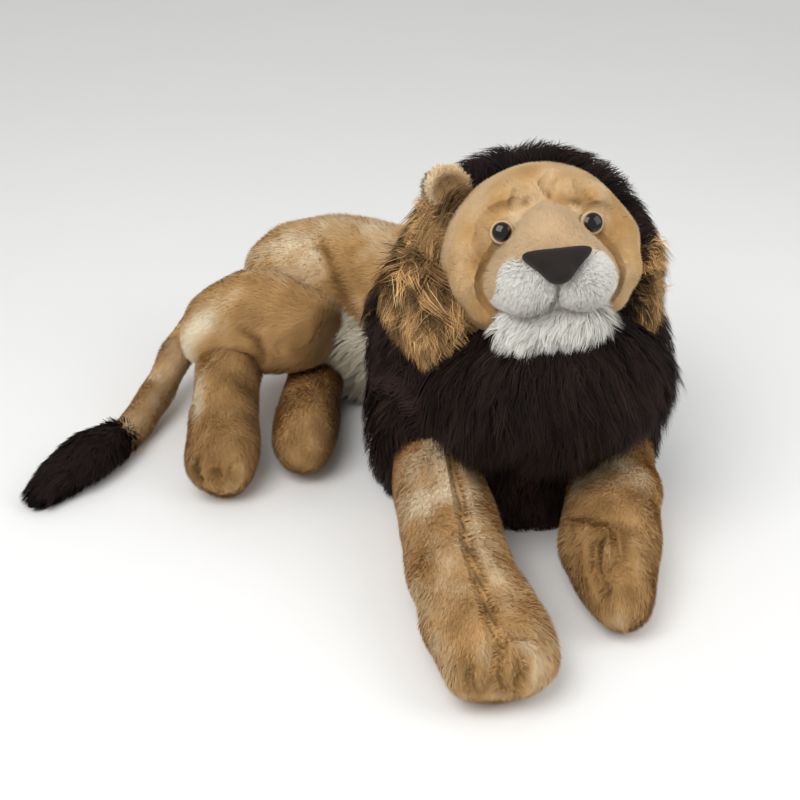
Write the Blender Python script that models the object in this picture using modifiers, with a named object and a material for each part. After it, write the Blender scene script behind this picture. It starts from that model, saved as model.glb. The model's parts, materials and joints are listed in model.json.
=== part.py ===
"""Plush lion lying on the floor: sewn plush skins over stuffing, with legs, head and tail that turn.

Metres, +Z up. The origin is on the floor under the middle of the lion. The forelegs and the face point to -Y.
The lion's right side is at -X, where the hindquarters lie rolled over so that both hind legs come forward.
"""

import math

import bmesh
import bpy
from mathutils import Matrix, Vector
from mathutils.bvhtree import BVHTree

# Fabric, seams and floor
skin_wall = 0.0035
seam_gap = 0.0003
floor_cut = 0.0005
overrun = 0.4

# How many flats a turned piece and the head's ball-shaped reach have round them
turn_steps = 16
ball_steps = 24

# Torso
torso_front_x = 0.205
torso_front_y = 0.000
torso_length = 0.385
torso_width = 0.240
torso_height = 0.242
belly_left_x = -0.020
belly_right_x = 0.060
belly_low_z = 0.030
belly_high_z = 0.120
belly_slant = 0.050

# Neck and the ball-shaped seat that the head turns in
neck_x = 0.205
neck_y = 0.020
neck_z = 0.270
neck_radius = 0.042
neck_foot_z = 0.094
head_reach = 0.160
neck_flare_deg = 14.0

# Head
head_x = 0.203
head_y = -0.016
head_z = 0.310
head_width = 0.213
head_height = 0.190
head_depth = 0.170
head_yaw_deg = 2.6
head_pitch_deg = -19.0
head_roll_deg = -5.0

# Face
snout_width = 0.134
snout_height = 0.112
snout_depth = 0.078
snout_base_y = -0.050
snout_middle_z = -0.006
pad_width = 0.074
pad_height = 0.056
pad_depth = 0.058
pad_x = 0.023
pad_y = -0.104
pad_z = -0.027
beard_width = 0.126
beard_height = 0.054
beard_depth = 0.062
beard_y = -0.076
beard_z = -0.070
nose_width = 0.070
nose_height = 0.036
nose_depth = 0.016
nose_y = -0.130
nose_z = 0.001
nose_tilt_deg = -14.0

# Safety eyes
eye_diameter = 0.024
eye_bulge = 0.0075
eye_sink = 0.0010
eye_spacing = 0.090
eye_level = 0.034
shank_diameter = 0.0055
shank_length = 0.016
washer_diameter = 0.018
washer_thickness = 0.0018
washer_play = 0.0003
washer_drop = 0.0016

# Ears and cheek ruffs
ear_width = 0.050
ear_height = 0.054
ear_thickness = 0.018
ear_lining_thickness = 0.007
ear_right_place = (-0.088, 0.012, 0.078)
ear_right_turn_deg = (8.0, 0.0, -38.0)
ear_left_place = (0.118, 0.036, -0.002)
ear_left_turn_deg = (0.0, 30.0, 112.0)
ruff_right_place = (-0.110, 0.004, -0.038)
ruff_right_half = (0.042, 0.040, 0.072)
ruff_right_turn_deg = -22.0
ruff_left_place = (0.108, 0.040, -0.042)
ruff_left_half = (0.022, 0.030, 0.058)
ruff_left_turn_deg = 10.0

# Manes
head_mane_width = 0.272
head_mane_height = 0.256
head_mane_depth = 0.180
throat_mane_place = (0.0, -0.010, -0.130)
throat_mane_half = (0.138, 0.108, 0.092)
chest_mane_x = 0.190
chest_mane_y = 0.060
chest_mane_width = 0.384
chest_mane_depth = 0.310
chest_mane_height = 0.300
chest_mane_hem = 0.004

# Forelegs: each swings about an upright line at its shoulder
foreleg_length = 0.408
foreleg_width = 0.118
foreleg_height = 0.118
shoulder_radius = 0.060
shoulder_right_x = 0.105
shoulder_right_y = 0.020
shoulder_left_x = 0.300
shoulder_left_y = 0.085
shoulder_out_deg = 12.0
shoulder_in_deg = 3.0
shoulder_ease_deg = 3.0

# Upper (right) hind leg: lifts about the seam along its top
hip_right_x = -0.140
hip_right_y = 0.200
hip_right_z = 0.182
thigh_length = 0.190
thigh_width = 0.124
thigh_right_x = -0.022
thigh_middle_y = 0.152
foot_length = 0.200
foot_width = 0.092
foot_height = 0.092
foot_right_x = -0.155
foot_right_y = 0.150

# Lower (left) hind leg: swings about an upright line at its hip
hind_left_length = 0.246
hind_left_width = 0.080
hind_left_height = 0.078
hip_left_x = -0.052
hip_left_y = 0.225
hip_left_radius = 0.040
hip_left_out_deg = 8.0
hip_left_in_deg = 1.0
hip_left_ease_deg = 4.0

# Tail: swings about an upright line at its root
tail_root_x = -0.118
tail_root_y = 0.296
tail_root_z = 0.140
tail_root_radius = 0.0275
tail_root_drop = 0.004
tail_length = 0.300
tail_diameter = 0.050
tuft_length = 0.175
tuft_width = 0.082
tail_out_deg = 35.0
tail_in_deg = 2.0
tail_ease_deg = 12.0

# Rows of (across, back, level, half width, half height) along each form, as shares of its three sizes
torso_shares = (
    (0.0, 0.00, 0.42, 0.27, 0.30),
    (0.0, 0.15, 0.46, 0.40, 0.44),
    (-0.05, 0.34, 0.48, 0.44, 0.48),
    (-0.20, 0.525, 0.485, 0.45, 0.485),
    (-0.40, 0.66, 0.48, 0.44, 0.48),
    (-0.60, 0.73, 0.50, 0.475, 0.50),
    (-0.75, 0.725, 0.47, 0.43, 0.46),
    (-0.86, 0.675, 0.45, 0.26, 0.30),
)
foreleg_right_shares = (
    (0.0, 0.20, 0.50, 0.42, 0.42),
    (0.0, 0.02, 0.51, 0.50, 0.50),
    (-0.01, -0.25, 0.49, 0.46, 0.49),
    (0.02, -0.52, 0.41, 0.47, 0.41),
    (0.078, -0.76, 0.39, 0.54, 0.39),
    (0.125, -0.93, 0.35, 0.52, 0.33),
    (0.14, -0.99, 0.28, 0.30, 0.18),
)
foreleg_left_shares = (
    (0.0, 0.20, 0.50, 0.42, 0.42),
    (0.0, 0.02, 0.51, 0.48, 0.50),
    (0.01, -0.28, 0.50, 0.42, 0.48),
    (-0.03, -0.52, 0.45, 0.47, 0.45),
    (-0.065, -0.68, 0.40, 0.50, 0.40),
    (-0.055, -0.82, 0.34, 0.34, 0.33),
    (-0.04, -0.905, 0.26, 0.19, 0.17),
)
thigh_shares = (
    (0.0, -0.09, -0.10, 0.24, 0.24),
    (-0.10, -0.02, -0.02, 0.42, 0.42),
    (-0.34, 0.04, 0.02, 0.49, 0.50),
    (-0.62, 0.08, 0.0, 0.47, 0.47),
    (-0.86, 0.04, -0.08, 0.38, 0.38),
    (-0.98, 0.00, -0.14, 0.22, 0.22),
)
foot_shares = (
    (0.0, 0.0, 1.25, 0.44, 0.42),
    (0.0, -0.18, 1.12, 0.46, 0.46),
    (0.0, -0.42, 0.84, 0.46, 0.48),
    (0.01, -0.64, 0.60, 0.50, 0.50),
    (0.025, -0.84, 0.50, 0.49, 0.50),
    (0.03, -0.97, 0.42, 0.28, 0.28),
)
hind_left_shares = (
    (0.0, 0.24, 0.50, 0.42, 0.42),
    (0.0, 0.04, 0.50, 0.49, 0.50),
    (-0.01, -0.30, 0.50, 0.46, 0.50),
    (-0.02, -0.62, 0.50, 0.50, 0.50),
    (-0.03, -0.84, 0.46, 0.46, 0.46),
    (-0.03, -0.94, 0.40, 0.24, 0.24),
)
tail_shares = (
    (0.17, 0.02, 0.02, 0.44, 0.44),
    (-0.02, 0.01, 0.0, 0.50, 0.50),
    (-0.23, -0.04, -0.10, 0.50, 0.50),
    (-0.39, -0.17, -0.49, 0.49, 0.49),
    (-0.47, -0.39, -0.76, 0.48, 0.48),
    (-0.535, -0.64, -0.83, 0.47, 0.47),
    (-0.59, -0.77, -0.84, 0.44, 0.44),
)
tuft_shares = (
    (0.0, 0.0, 0.30, 0.24, 0.22),
    (-0.10, -0.16, 0.34, 0.42, 0.34),
    (-0.26, -0.42, 0.36, 0.50, 0.36),
    (-0.42, -0.68, 0.28, 0.40, 0.28),
    (-0.52, -0.86, 0.20, 0.22, 0.18),
    (-0.56, -0.95, 0.16, 0.10, 0.08),
)
head_shares = (
    (0.0, 0.50, 0.0, 0.24, 0.24),
    (0.0, 0.36, 0.0, 0.42, 0.42),
    (0.0, 0.08, 0.0, 0.50, 0.50),
    (0.0, -0.20, 0.0, 0.50, 0.50),
    (0.0, -0.40, 0.0, 0.43, 0.43),
    (0.0, -0.49, 0.0, 0.27, 0.27),
)
snout_shares = (
    (0.0, 0.0, 0.0, 0.50, 0.50),
    (0.0, -0.48, 0.0, 0.50, 0.50),
    (0.0, -0.82, -0.02, 0.42, 0.42),
    (0.0, -1.02, -0.02, 0.24, 0.24),
)
snout_pear_share = 0.62
nose_outline_shares = (
    (-0.50, 0.24),
    (-0.46, 0.46),
    (0.0, 0.42),
    (0.46, 0.46),
    (0.50, 0.24),
    (0.24, -0.14),
    (0.13, -0.52),
    (-0.13, -0.52),
    (-0.24, -0.14),
)
nose_ring_shares = ((-0.6, 0.98), (0.0, 1.04), (0.6, 1.0), (1.0, 0.62))
head_mane_shares = (
    (0.0, 1.30, -0.40, 0.40, 0.40),
    (0.0, 1.00, -0.32, 0.56, 0.56),
    (0.0, 0.66, -0.18, 0.60, 0.62),
    (0.0, 0.32, -0.04, 0.53, 0.54),
    (0.0, 0.08, 0.0, 0.48, 0.49),
    (0.0, -0.06, 0.0, 0.40, 0.40),
)
belly_middle_share = 0.66
ear_cup_share = 0.38
chest_mane_shares = (
    (0.0, -0.02, -0.14, 0.38, 0.40),
    (0.0, -0.02, 0.0, 0.44, 0.46),
    (0.0, -0.01, 0.14, 0.47, 0.48),
    (0.0, 0.0, 0.36, 0.50, 0.50),
    (0.0, 0.05, 0.60, 0.49, 0.50),
    (-0.01, 0.14, 0.84, 0.41, 0.42),
    (-0.02, 0.20, 0.98, 0.24, 0.24),
)

# The shared cutters that go through the torso and through the chest's mane
torso_cut_names = (
    "floor",
    "head_seat",
    "neck_hole",
    "shoulder_right",
    "shoulder_left",
    "hip_pocket",
    "hip_left",
    "tail_pocket",
)
mane_cut_names = ("hip_left", "shoulder_right", "shoulder_left", "head_seat", "neck_hole")


def clear_scene():
    for old in list(bpy.data.objects):
        bpy.data.objects.remove(old)


def new_collection(name):
    collection = bpy.data.collections.new(name)
    bpy.context.scene.collection.children.link(collection)
    return collection


def material(name, colour, roughness, coat=0.0):
    made = bpy.data.materials.new(name)
    made.use_nodes = True
    shader = made.node_tree.nodes["Principled BSDF"]
    shader.inputs["Base Color"].default_value = (*colour, 1.0)
    shader.inputs["Roughness"].default_value = roughness
    shader.inputs["Metallic"].default_value = 0.0
    shader.inputs["Coat Weight"].default_value = coat
    made.diffuse_color = (*colour, 1.0)
    return made


def new_object(name, mesh, collection):
    made = bpy.data.objects.new(name, mesh)
    collection.objects.link(made)
    return made


def evaluated_mesh(source):
    """The mesh that an object's modifiers make."""
    graph = bpy.context.evaluated_depsgraph_get()
    return bpy.data.meshes.new_from_object(source.evaluated_get(graph))


def placed_rows(shares, start, length, width, height, rise=None):
    """A form's rows in metres: each centre, whose level is a share of the rise, with its two half sizes."""
    rise = rise or height
    return [
        (
            start + Vector((across * length, back * length, level * rise)),
            half_width * width,
            half_height * height,
        )
        for across, back, level, half_width, half_height in shares
    ]


def loft_cage(name, rows, sides, up, pear_share=0.0):
    """Rings of a few sides along the rows, closed at both ends, so wide that smoothing gives the sizes."""
    shrink = (2 + math.cos(2 * math.pi / sides)) / 3
    bm = bmesh.new()
    rings = []
    for index, (centre, half_width, half_height) in enumerate(rows):
        before = rows[max(index - 1, 0)][0]
        after = rows[min(index + 1, len(rows) - 1)][0]
        along = (after - before).normalized()
        side = along.cross(up).normalized()
        top = side.cross(along)
        ring = []
        for step in range(sides):
            angle = 2 * math.pi * step / sides
            narrow = 1 - pear_share * max(math.sin(angle), 0.0)
            out = side * math.cos(angle) * half_width * narrow
            rise = top * math.sin(angle) * half_height
            ring.append(bm.verts.new(centre + (out + rise) / shrink))
        rings.append(ring)
    for near, far in zip(rings, rings[1:]):
        for step in range(sides):
            after = (step + 1) % sides
            bm.faces.new((near[step], near[after], far[after], far[step]))
    bm.faces.new(reversed(rings[0]))
    bm.faces.new(rings[-1])
    faced_out(bm)
    mesh = bpy.data.meshes.new(name)
    bm.to_mesh(mesh)
    bm.free()
    return mesh


def rounded(cage, levels=1):
    """A coarse cage smoothed into a stuffed form."""
    holder = new_object("cage", cage, bpy.context.scene.collection)
    smooth = holder.modifiers.new("round", "SUBSURF")
    smooth.levels = levels
    smooth.render_levels = levels
    holder.modifiers.new("flat_faces", "TRIANGULATE")
    mesh = evaluated_mesh(holder)
    bpy.data.objects.remove(holder)
    return mesh


def stuffed_form(name, rows, sides=6, up=Vector((0.0, 0.0, 1.0)), pear_share=0.0):
    return rounded(loft_cage(name, rows, sides, up, pear_share))


def settled(mesh, height=-floor_cut):
    """The form moved up or down until its lowest point is at the height, or one floor cut below the floor."""
    lowest = min(vertex.co.z for vertex in mesh.vertices)
    mesh.transform(Matrix.Translation((0.0, 0.0, height - lowest)))
    return mesh


def moved_out(mesh, distance):
    """A copy of the form with its surface moved out along its normals, or in for a negative distance."""
    grown = mesh.copy()
    bm = bmesh.new()
    bm.from_mesh(grown)
    bm.normal_update()
    places = [vertex.co + vertex.normal * distance for vertex in bm.verts]
    for vertex, place in zip(bm.verts, places):
        vertex.co = place
    bm.to_mesh(grown)
    bm.free()
    return grown


def ball(radius, segments, rings):
    mesh = bpy.data.meshes.new("ball")
    bm = bmesh.new()
    bmesh.ops.create_uvsphere(bm, u_segments=segments, v_segments=rings, radius=radius)
    bm.to_mesh(mesh)
    bm.free()
    return mesh


def egg(half_sizes, matrix, segments=14, rings=8):
    """A ball stretched to three half sizes and placed by the matrix."""
    mesh = ball(1.0, segments, rings)
    mesh.transform(matrix @ Matrix.Diagonal((*half_sizes, 1.0)))
    return mesh


def faced_out(bm):
    """Turns every face of a closed shape outwards."""
    bmesh.ops.recalc_face_normals(bm, faces=bm.faces)
    if bm.calc_volume(signed=True) < 0.0:
        bmesh.ops.reverse_faces(bm, faces=bm.faces)


def box(low, high):
    mesh = bpy.data.meshes.new("box")
    bm = bmesh.new()
    bmesh.ops.create_cube(bm, size=1.0)
    size = Vector(high) - Vector(low)
    middle = (Vector(high) + Vector(low)) / 2
    bm.transform(Matrix.Translation(middle) @ Matrix.Diagonal((*size, 1.0)))
    bm.to_mesh(mesh)
    bm.free()
    return mesh


def prism(outline, low, high, frame=Matrix.Identity(4)):
    """A flat outline in the frame's X and Y, raised from low to high along the frame's Z."""
    mesh = bpy.data.meshes.new("prism")
    bm = bmesh.new()
    foot = [bm.verts.new((x, y, low)) for x, y in outline]
    head = bmesh.ops.extrude_face_region(bm, geom=[bm.faces.new(foot)])
    raised = [item for item in head["geom"] if isinstance(item, bmesh.types.BMVert)]
    bmesh.ops.translate(bm, verts=raised, vec=(0.0, 0.0, high - low))
    bm.transform(frame)
    faced_out(bm)
    bm.to_mesh(mesh)
    bm.free()
    return mesh


def fan_outline(x, y, radius, left_deg, right_deg, steps=16):
    """A round back about (x, y) that opens to -Y, its sides swung out by the given angles."""
    start = math.radians(right_deg)
    sweep = math.pi - math.radians(left_deg) - start
    points = []
    for step in range(steps + 1):
        angle = start + sweep * step / steps
        points.append((x + radius * math.cos(angle), y + radius * math.sin(angle)))
    left = math.radians(left_deg)
    points.append((points[-1][0] - overrun * math.sin(left), points[-1][1] - overrun * math.cos(left)))
    points.append((points[0][0] + overrun * math.sin(start), points[0][1] - overrun * math.cos(start)))
    return points


def behind_outline(x, y, radius, steps=16):
    """Everything on the +Y side of (x, y) but a round root of the given radius."""
    points = [(x + overrun, y + overrun), (x - overrun, y + overrun), (x - overrun, y)]
    for step in range(steps + 1):
        angle = math.pi * (1 - step / steps)
        points.append((x + radius * math.cos(angle), y + radius * math.sin(angle)))
    points.append((x + overrun, y))
    return points


class Shop:
    """The collections and materials that the pieces share."""

    def __init__(self):
        self.parts = new_collection("plush_lion")
        self.cutters = new_collection("cutters")
        self.gold = material("gold_plush", (0.50, 0.30, 0.13), 0.95)
        self.cream = material("cream_plush", (0.62, 0.44, 0.25), 0.95)
        self.white = material("white_plush", (0.80, 0.76, 0.69), 0.95)
        self.brown = material("brown_long_pile", (0.045, 0.026, 0.022), 0.9)
        self.ruff = material("golden_long_pile", (0.34, 0.19, 0.075), 0.9)
        self.nose = material("nose_velour", (0.040, 0.027, 0.024), 0.8)
        self.glass = material("eye_plastic", (0.020, 0.010, 0.006), 0.08, coat=1.0)
        self.clear = material("washer_plastic", (0.75, 0.75, 0.72), 0.4)
        self.filling = material("polyester_stuffing", (0.85, 0.85, 0.83), 1.0)

    def cutter(self, name, mesh):
        made = new_object(name, mesh, self.cutters)
        made.hide_render = True
        made.display_type = "WIRE"
        return made

    def piece(self, name, mesh, look, *cuts, wall=0.0):
        """A named piece, hollow where it has a wall; each cut is (operation, cutter object)."""
        made = new_object(name, mesh.copy(), self.parts)
        made.data.materials.append(look)
        made.data.shade_smooth()
        if wall:
            shell = made.modifiers.new("wall", "SOLIDIFY")
            shell.thickness = wall
            shell.offset = -1.0
        for operation in ("INTERSECT", "DIFFERENCE"):
            tools = [tool for kind, tool in cuts if kind == operation]
            if tools:
                self.cut(made, operation, tools)
        return made

    def cut(self, made, operation, tools):
        """One Boolean with all the tools of an operation, which share a collection."""
        group = bpy.data.collections.new(f"{made.name}_{operation.lower()}")
        self.cutters.children.link(group)
        for tool in tools:
            group.objects.link(tool)
        change = made.modifiers.new(operation.lower(), "BOOLEAN")
        change.operation = operation
        change.solver = "EXACT"
        change.operand_type = "COLLECTION"
        change.collection = group

    def room(self, name, form):
        """The cut that leaves a seam's gap round a form."""
        return ("DIFFERENCE", self.cutter(name, moved_out(form, seam_gap)))

    def skin(self, name, form, look, *cuts):
        """The sewn plush wall of a form, open wherever a cut goes through it."""
        return self.piece(name, form, look, *cuts, wall=skin_wall)

    def stuffing(self, name, form, *cuts):
        """What fills a form inside its wall."""
        return self.piece(name, moved_out(form, -skin_wall - seam_gap), self.filling, *cuts)


def pivot(shop, name, place):
    """An empty on a joint's axis, which carries the pieces that move there."""
    made = new_object(name, None, shop.parts)
    made.location = place
    made.empty_display_size = seam_gap
    bpy.context.view_layer.update()
    return made


def hang(carrier, pieces):
    """Gives each piece its origin at the joint and parents it there."""
    home = carrier.matrix_world.copy()
    for piece in pieces:
        piece.data.transform(home.inverted())
        piece.parent = carrier


def head_frame():
    turn = (
        Matrix.Rotation(math.radians(head_yaw_deg), 4, "Z")
        @ Matrix.Rotation(math.radians(head_pitch_deg), 4, "X")
        @ Matrix.Rotation(math.radians(head_roll_deg), 4, "Y")
    )
    return Matrix.Translation((head_x, head_y, head_z)) @ turn


def floor_cutter(shop):
    return shop.cutter("floor", box((-overrun, -overrun, -overrun), (overrun, overrun, 0.0)))


def hip_pocket(shop, thigh):
    """The space in front of the hip plane where the upper hind leg lies."""
    knee = max(vertex.co.x for vertex in thigh.vertices)
    high = (knee + seam_gap, hip_right_y + seam_gap, overrun)
    return shop.cutter("hip_pocket", box((-overrun, -overrun, -overrun), high))


def swing_fan(shop, name, place, radius, left_deg, right_deg, ceiling):
    """The room for a leg's round root and its swing, up to a flat ceiling."""
    outline = fan_outline(*place, radius, left_deg, right_deg)
    return shop.cutter(name, prism(outline, -overrun, ceiling))


def belly_prism(shop, name, grow):
    """The belly panel's outline seen from the front, from the body's middle line to its front."""
    left = belly_left_x - grow
    right = belly_right_x + grow
    low = belly_low_z - grow
    high = belly_high_z + grow
    outline = ((left, low), (right, low), (right, high - belly_slant), (left, high))
    lean = Matrix.Rotation(math.radians(90.0), 4, "X")
    middle = torso_front_y + belly_middle_share * torso_length
    return shop.cutter(name, prism(outline, -middle, overrun, lean))


def make_torso(shop, cuts, form):
    shared = [("DIFFERENCE", cuts[name]) for name in torso_cut_names]
    panel = belly_prism(shop, "belly_outline", 0.0)
    opening = belly_prism(shop, "belly_opening", seam_gap)
    shop.skin("body_skin", form, shop.gold, ("DIFFERENCE", opening), *shared)
    shop.skin("belly_panel", form, shop.white, ("INTERSECT", panel), *shared)
    shop.stuffing("body_stuffing", form, *shared)


def make_chest_mane(shop, cuts, torso):
    start = Vector((chest_mane_x, chest_mane_y, 0.0))
    rows = placed_rows(
        chest_mane_shares, start, chest_mane_width, chest_mane_width, chest_mane_depth, chest_mane_height
    )
    form = stuffed_form("chest_mane", rows, 8, Vector((0.0, 1.0, 0.0)))
    body = shop.room("body_in_mane", torso)
    hem = shop.cutter("mane_hem", box((-overrun, -overrun, -overrun), (overrun, overrun, chest_mane_hem)))
    pockets = [("DIFFERENCE", cuts[name]) for name in mane_cut_names]
    shop.piece("chest_mane", form, shop.brown, body, ("DIFFERENCE", hem), *pockets)


def turned(profile, matrix, steps=turn_steps):
    """A profile of (radius, height) points spun about the matrix's Z axis."""
    mesh = bpy.data.meshes.new("turned")
    bm = bmesh.new()
    points = [bm.verts.new((radius, 0.0, height)) for radius, height in profile]
    edges = [bm.edges.new(pair) for pair in zip(points, points[1:])]
    bmesh.ops.spin(
        bm, geom=points + edges, cent=(0.0, 0.0, 0.0), axis=(0.0, 0.0, 1.0), angle=2 * math.pi, steps=steps
    )
    bmesh.ops.remove_doubles(bm, verts=bm.verts, dist=seam_gap / 10)
    bm.transform(matrix)
    faced_out(bm)
    bm.to_mesh(mesh)
    bm.free()
    return mesh


def dome_profile(radius, foot, steps=5):
    """A post of the given radius from its foot up to a half ball about height 0."""
    points = [(0.0, foot), (radius, foot)]
    for step in range(steps):
        angle = math.pi / 2 * step / steps
        points.append((radius * math.cos(angle), radius * math.sin(angle)))
    points.append((0.0, radius))
    return points


def neck_post(radius, foot, turn=0.0):
    place = Matrix.Translation((neck_x, neck_y, neck_z)) @ Matrix.Rotation(turn, 4, "Z")
    return turned(dome_profile(radius, foot - neck_z), place)


def make_neck(shop):
    return shop.piece("neck_stuffed_tube", neck_post(neck_radius, neck_foot_z), shop.gold)


def neck_cutters(shop):
    """The hole in the torso, and the socket in the head; their flats face the neck's edges."""
    half_step = math.pi / turn_steps
    snug = (neck_radius + seam_gap) / math.cos(half_step)
    hole = shop.cutter("neck_hole", neck_post(snug, neck_foot_z - seam_gap, half_step))
    flare = math.radians(neck_flare_deg)
    steps = 5
    rise = (math.pi / 2 - flare) / steps
    snug /= math.cos(rise / 2)
    foot = -head_reach - snug
    lip = (snug * math.cos(flare), snug * math.sin(flare))
    points = [(0.0, foot), (lip[0] + (lip[1] - foot) * math.tan(flare), foot), lip]
    for step in range(1, steps):
        angle = flare + rise * step
        points.append((snug * math.cos(angle), snug * math.sin(angle)))
    points.append((0.0, snug))
    place = Matrix.Translation((neck_x, neck_y, neck_z)) @ Matrix.Rotation(half_step, 4, "Z")
    return hole, shop.cutter("neck_socket", turned(points, place))


def reach_ball(shop, name, radius):
    mesh = ball(radius, ball_steps, ball_steps // 2)
    mesh.transform(Matrix.Translation((neck_x, neck_y, neck_z)))
    return shop.cutter(name, mesh)


def head_form(frame):
    rows = placed_rows(head_shares, Vector(), head_depth, head_width, head_height)
    form = stuffed_form("head", rows, 8)
    form.transform(frame)
    return form


def eye_frames(form, frame):
    """Where each eye sits on the head's surface, its Z axis pointing out of the head."""
    local = form.copy()
    local.transform(frame.inverted())
    bm = bmesh.new()
    bm.from_mesh(local)
    tree = BVHTree.FromBMesh(bm)
    bm.free()
    frames = []
    for side in (-1, 1):
        start = Vector((side * eye_spacing / 2, -overrun, eye_level))
        place, normal, _, _ = tree.ray_cast(start, Vector((0.0, 1.0, 0.0)))
        turn = normal.to_track_quat("Z", "Y").to_matrix().to_4x4()
        frames.append(frame @ Matrix.Translation(place) @ turn)
    return frames


def eye_profile(radius, grow):
    """A domed eye on its shank: (radius, height) points from the shank's end to the dome's top."""
    foot = -shank_length - grow
    post = shank_diameter / 2 + grow
    rim = radius + grow
    points = [(0.0, foot), (post, foot), (post, -eye_sink - grow), (rim, -eye_sink - grow)]
    steps = 4
    for step in range(steps):
        angle = math.pi / 2 * step / steps
        points.append((rim * math.cos(angle), (eye_bulge + grow) * math.sin(angle)))
    points.append((0.0, eye_bulge + grow))
    return points


def washer_profile():
    """The ring that holds a shank behind the plush wall."""
    top = -skin_wall - washer_drop
    low = top - washer_thickness
    bore = shank_diameter / 2 + washer_play
    rim = washer_diameter / 2
    return [(bore, low), (rim, low), (rim, top), (bore, top), (bore, low)]


def make_eyes(shop, frames):
    """The eyes with their washers, the cuts for their shanks and domes, and the wells for the washers."""
    pieces, seats, wells = [], [], []
    for name, frame in zip(("right", "left"), frames):
        eye = turned(eye_profile(eye_diameter / 2, 0.0), frame)
        pieces.append(shop.piece(f"eye_{name}", eye, shop.glass))
        pieces.append(shop.piece(f"eye_washer_{name}", turned(washer_profile(), frame), shop.clear))
        seat = shop.cutter(f"eye_seat_{name}", turned(eye_profile(eye_diameter / 2, seam_gap), frame))
        seats.append(("DIFFERENCE", seat))
        rim = washer_diameter / 2 + washer_play
        low = -skin_wall - washer_drop - washer_thickness - washer_play
        well = turned([(0.0, low), (rim, low), (rim, 0.0), (0.0, 0.0)], frame)
        wells.append(("DIFFERENCE", shop.cutter(f"washer_well_{name}", well)))
    return pieces, seats, wells


def snout_form(frame):
    start = Vector((0.0, snout_base_y, snout_middle_z))
    rows = placed_rows(snout_shares, start, snout_depth, snout_width, snout_height)
    form = stuffed_form("snout", rows, 10, pear_share=snout_pear_share)
    form.transform(frame)
    return form


def pad_form(frame, side):
    place = Matrix.Translation((side * pad_x, pad_y, pad_z))
    return egg((pad_width / 2, pad_depth / 2, pad_height / 2), frame @ place)


def beard_form(frame):
    place = Matrix.Translation((0.0, beard_y, beard_z))
    return egg((beard_width / 2, beard_depth / 2, beard_height / 2), frame @ place)


def nose_form(frame):
    """A rounded triangle with its point down, domed towards the front."""
    rings = []
    bm = bmesh.new()
    for forward, scale in nose_ring_shares:
        ring = []
        for across, up in nose_outline_shares:
            place = (across * nose_width * scale, -forward * nose_depth, up * nose_height * scale)
            ring.append(bm.verts.new(place))
        rings.append(ring)
    for near, far in zip(rings, rings[1:]):
        for step in range(len(near)):
            after = (step + 1) % len(near)
            bm.faces.new((near[step], near[after], far[after], far[step]))
    bm.faces.new(reversed(rings[0]))
    bm.faces.new(rings[-1])
    faced_out(bm)
    mesh = bpy.data.meshes.new("nose")
    bm.to_mesh(mesh)
    bm.free()
    form = rounded(mesh)
    place = Matrix.Translation((0.0, nose_y, nose_z)) @ Matrix.Rotation(math.radians(nose_tilt_deg), 4, "X")
    form.transform(frame @ place)
    return form


def make_face(shop, frame, head, seats):
    """The snout, muzzle pads, nose and chin, each cut by what it sits on."""
    on_head = shop.room("head_under_face", head)
    snout = snout_form(frame)
    on_snout = shop.room("snout_under_pads", snout)
    pieces = [shop.piece("snout_panel", snout, shop.cream, on_head, *seats)]
    on_pads = []
    for name, side in (("right", -1), ("left", 1)):
        pad = pad_form(frame, side)
        far = side * overrun
        near = side * seam_gap / 2
        half = box((min(near, far), -overrun, -overrun), (max(near, far), overrun, overrun))
        half.transform(frame)
        own_side = ("INTERSECT", shop.cutter(f"{name}_of_seam", half))
        on_pads.append(shop.room(f"pad_under_nose_{name}", pad))
        pieces.append(shop.piece(f"muzzle_pad_{name}", pad, shop.white, own_side, on_head, on_snout))
    pieces.append(shop.piece("nose", nose_form(frame), shop.nose, on_head, on_snout, *on_pads))
    pieces.append(shop.piece("chin_beard", beard_form(frame), shop.white, on_head, on_snout, *on_pads))
    return pieces


def make_ear(shop, name, frame, place, turn_deg, on_head):
    """A rounded ear with its foot in the head's side, the lining in its cup, and the room for both."""
    pose = frame @ Matrix.Translation(place)
    for axis, angle in zip("XZY", turn_deg):
        pose = pose @ Matrix.Rotation(math.radians(angle), 4, axis)
    shell = egg((ear_width / 2, ear_thickness / 2, ear_height / 2), pose, 12, 6)
    cup = (ear_width * ear_cup_share, ear_lining_thickness, ear_height * ear_cup_share)
    lining = egg(cup, pose @ Matrix.Translation((0.0, -ear_thickness / 2, 0.0)), 12, 6)
    hollow = shop.room(f"ear_cup_{name}", lining)
    pieces = [
        shop.piece(f"ear_{name}", shell, shop.gold, on_head, hollow),
        shop.piece(f"ear_lining_{name}", lining, shop.ruff, on_head),
    ]
    return pieces, [hollow, shop.room(f"ear_room_{name}", shell)]


def make_ruff(shop, name, frame, place, half, turn_deg, cuts):
    """A tuft of golden pile beside the jaw, and the room for it in the mane."""
    turn = Matrix.Rotation(math.radians(turn_deg), 4, "Y")
    form = egg(half, frame @ Matrix.Translation(place) @ turn)
    return shop.piece(f"cheek_ruff_{name}", form, shop.ruff, *cuts), shop.room(f"ruff_room_{name}", form)


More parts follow.
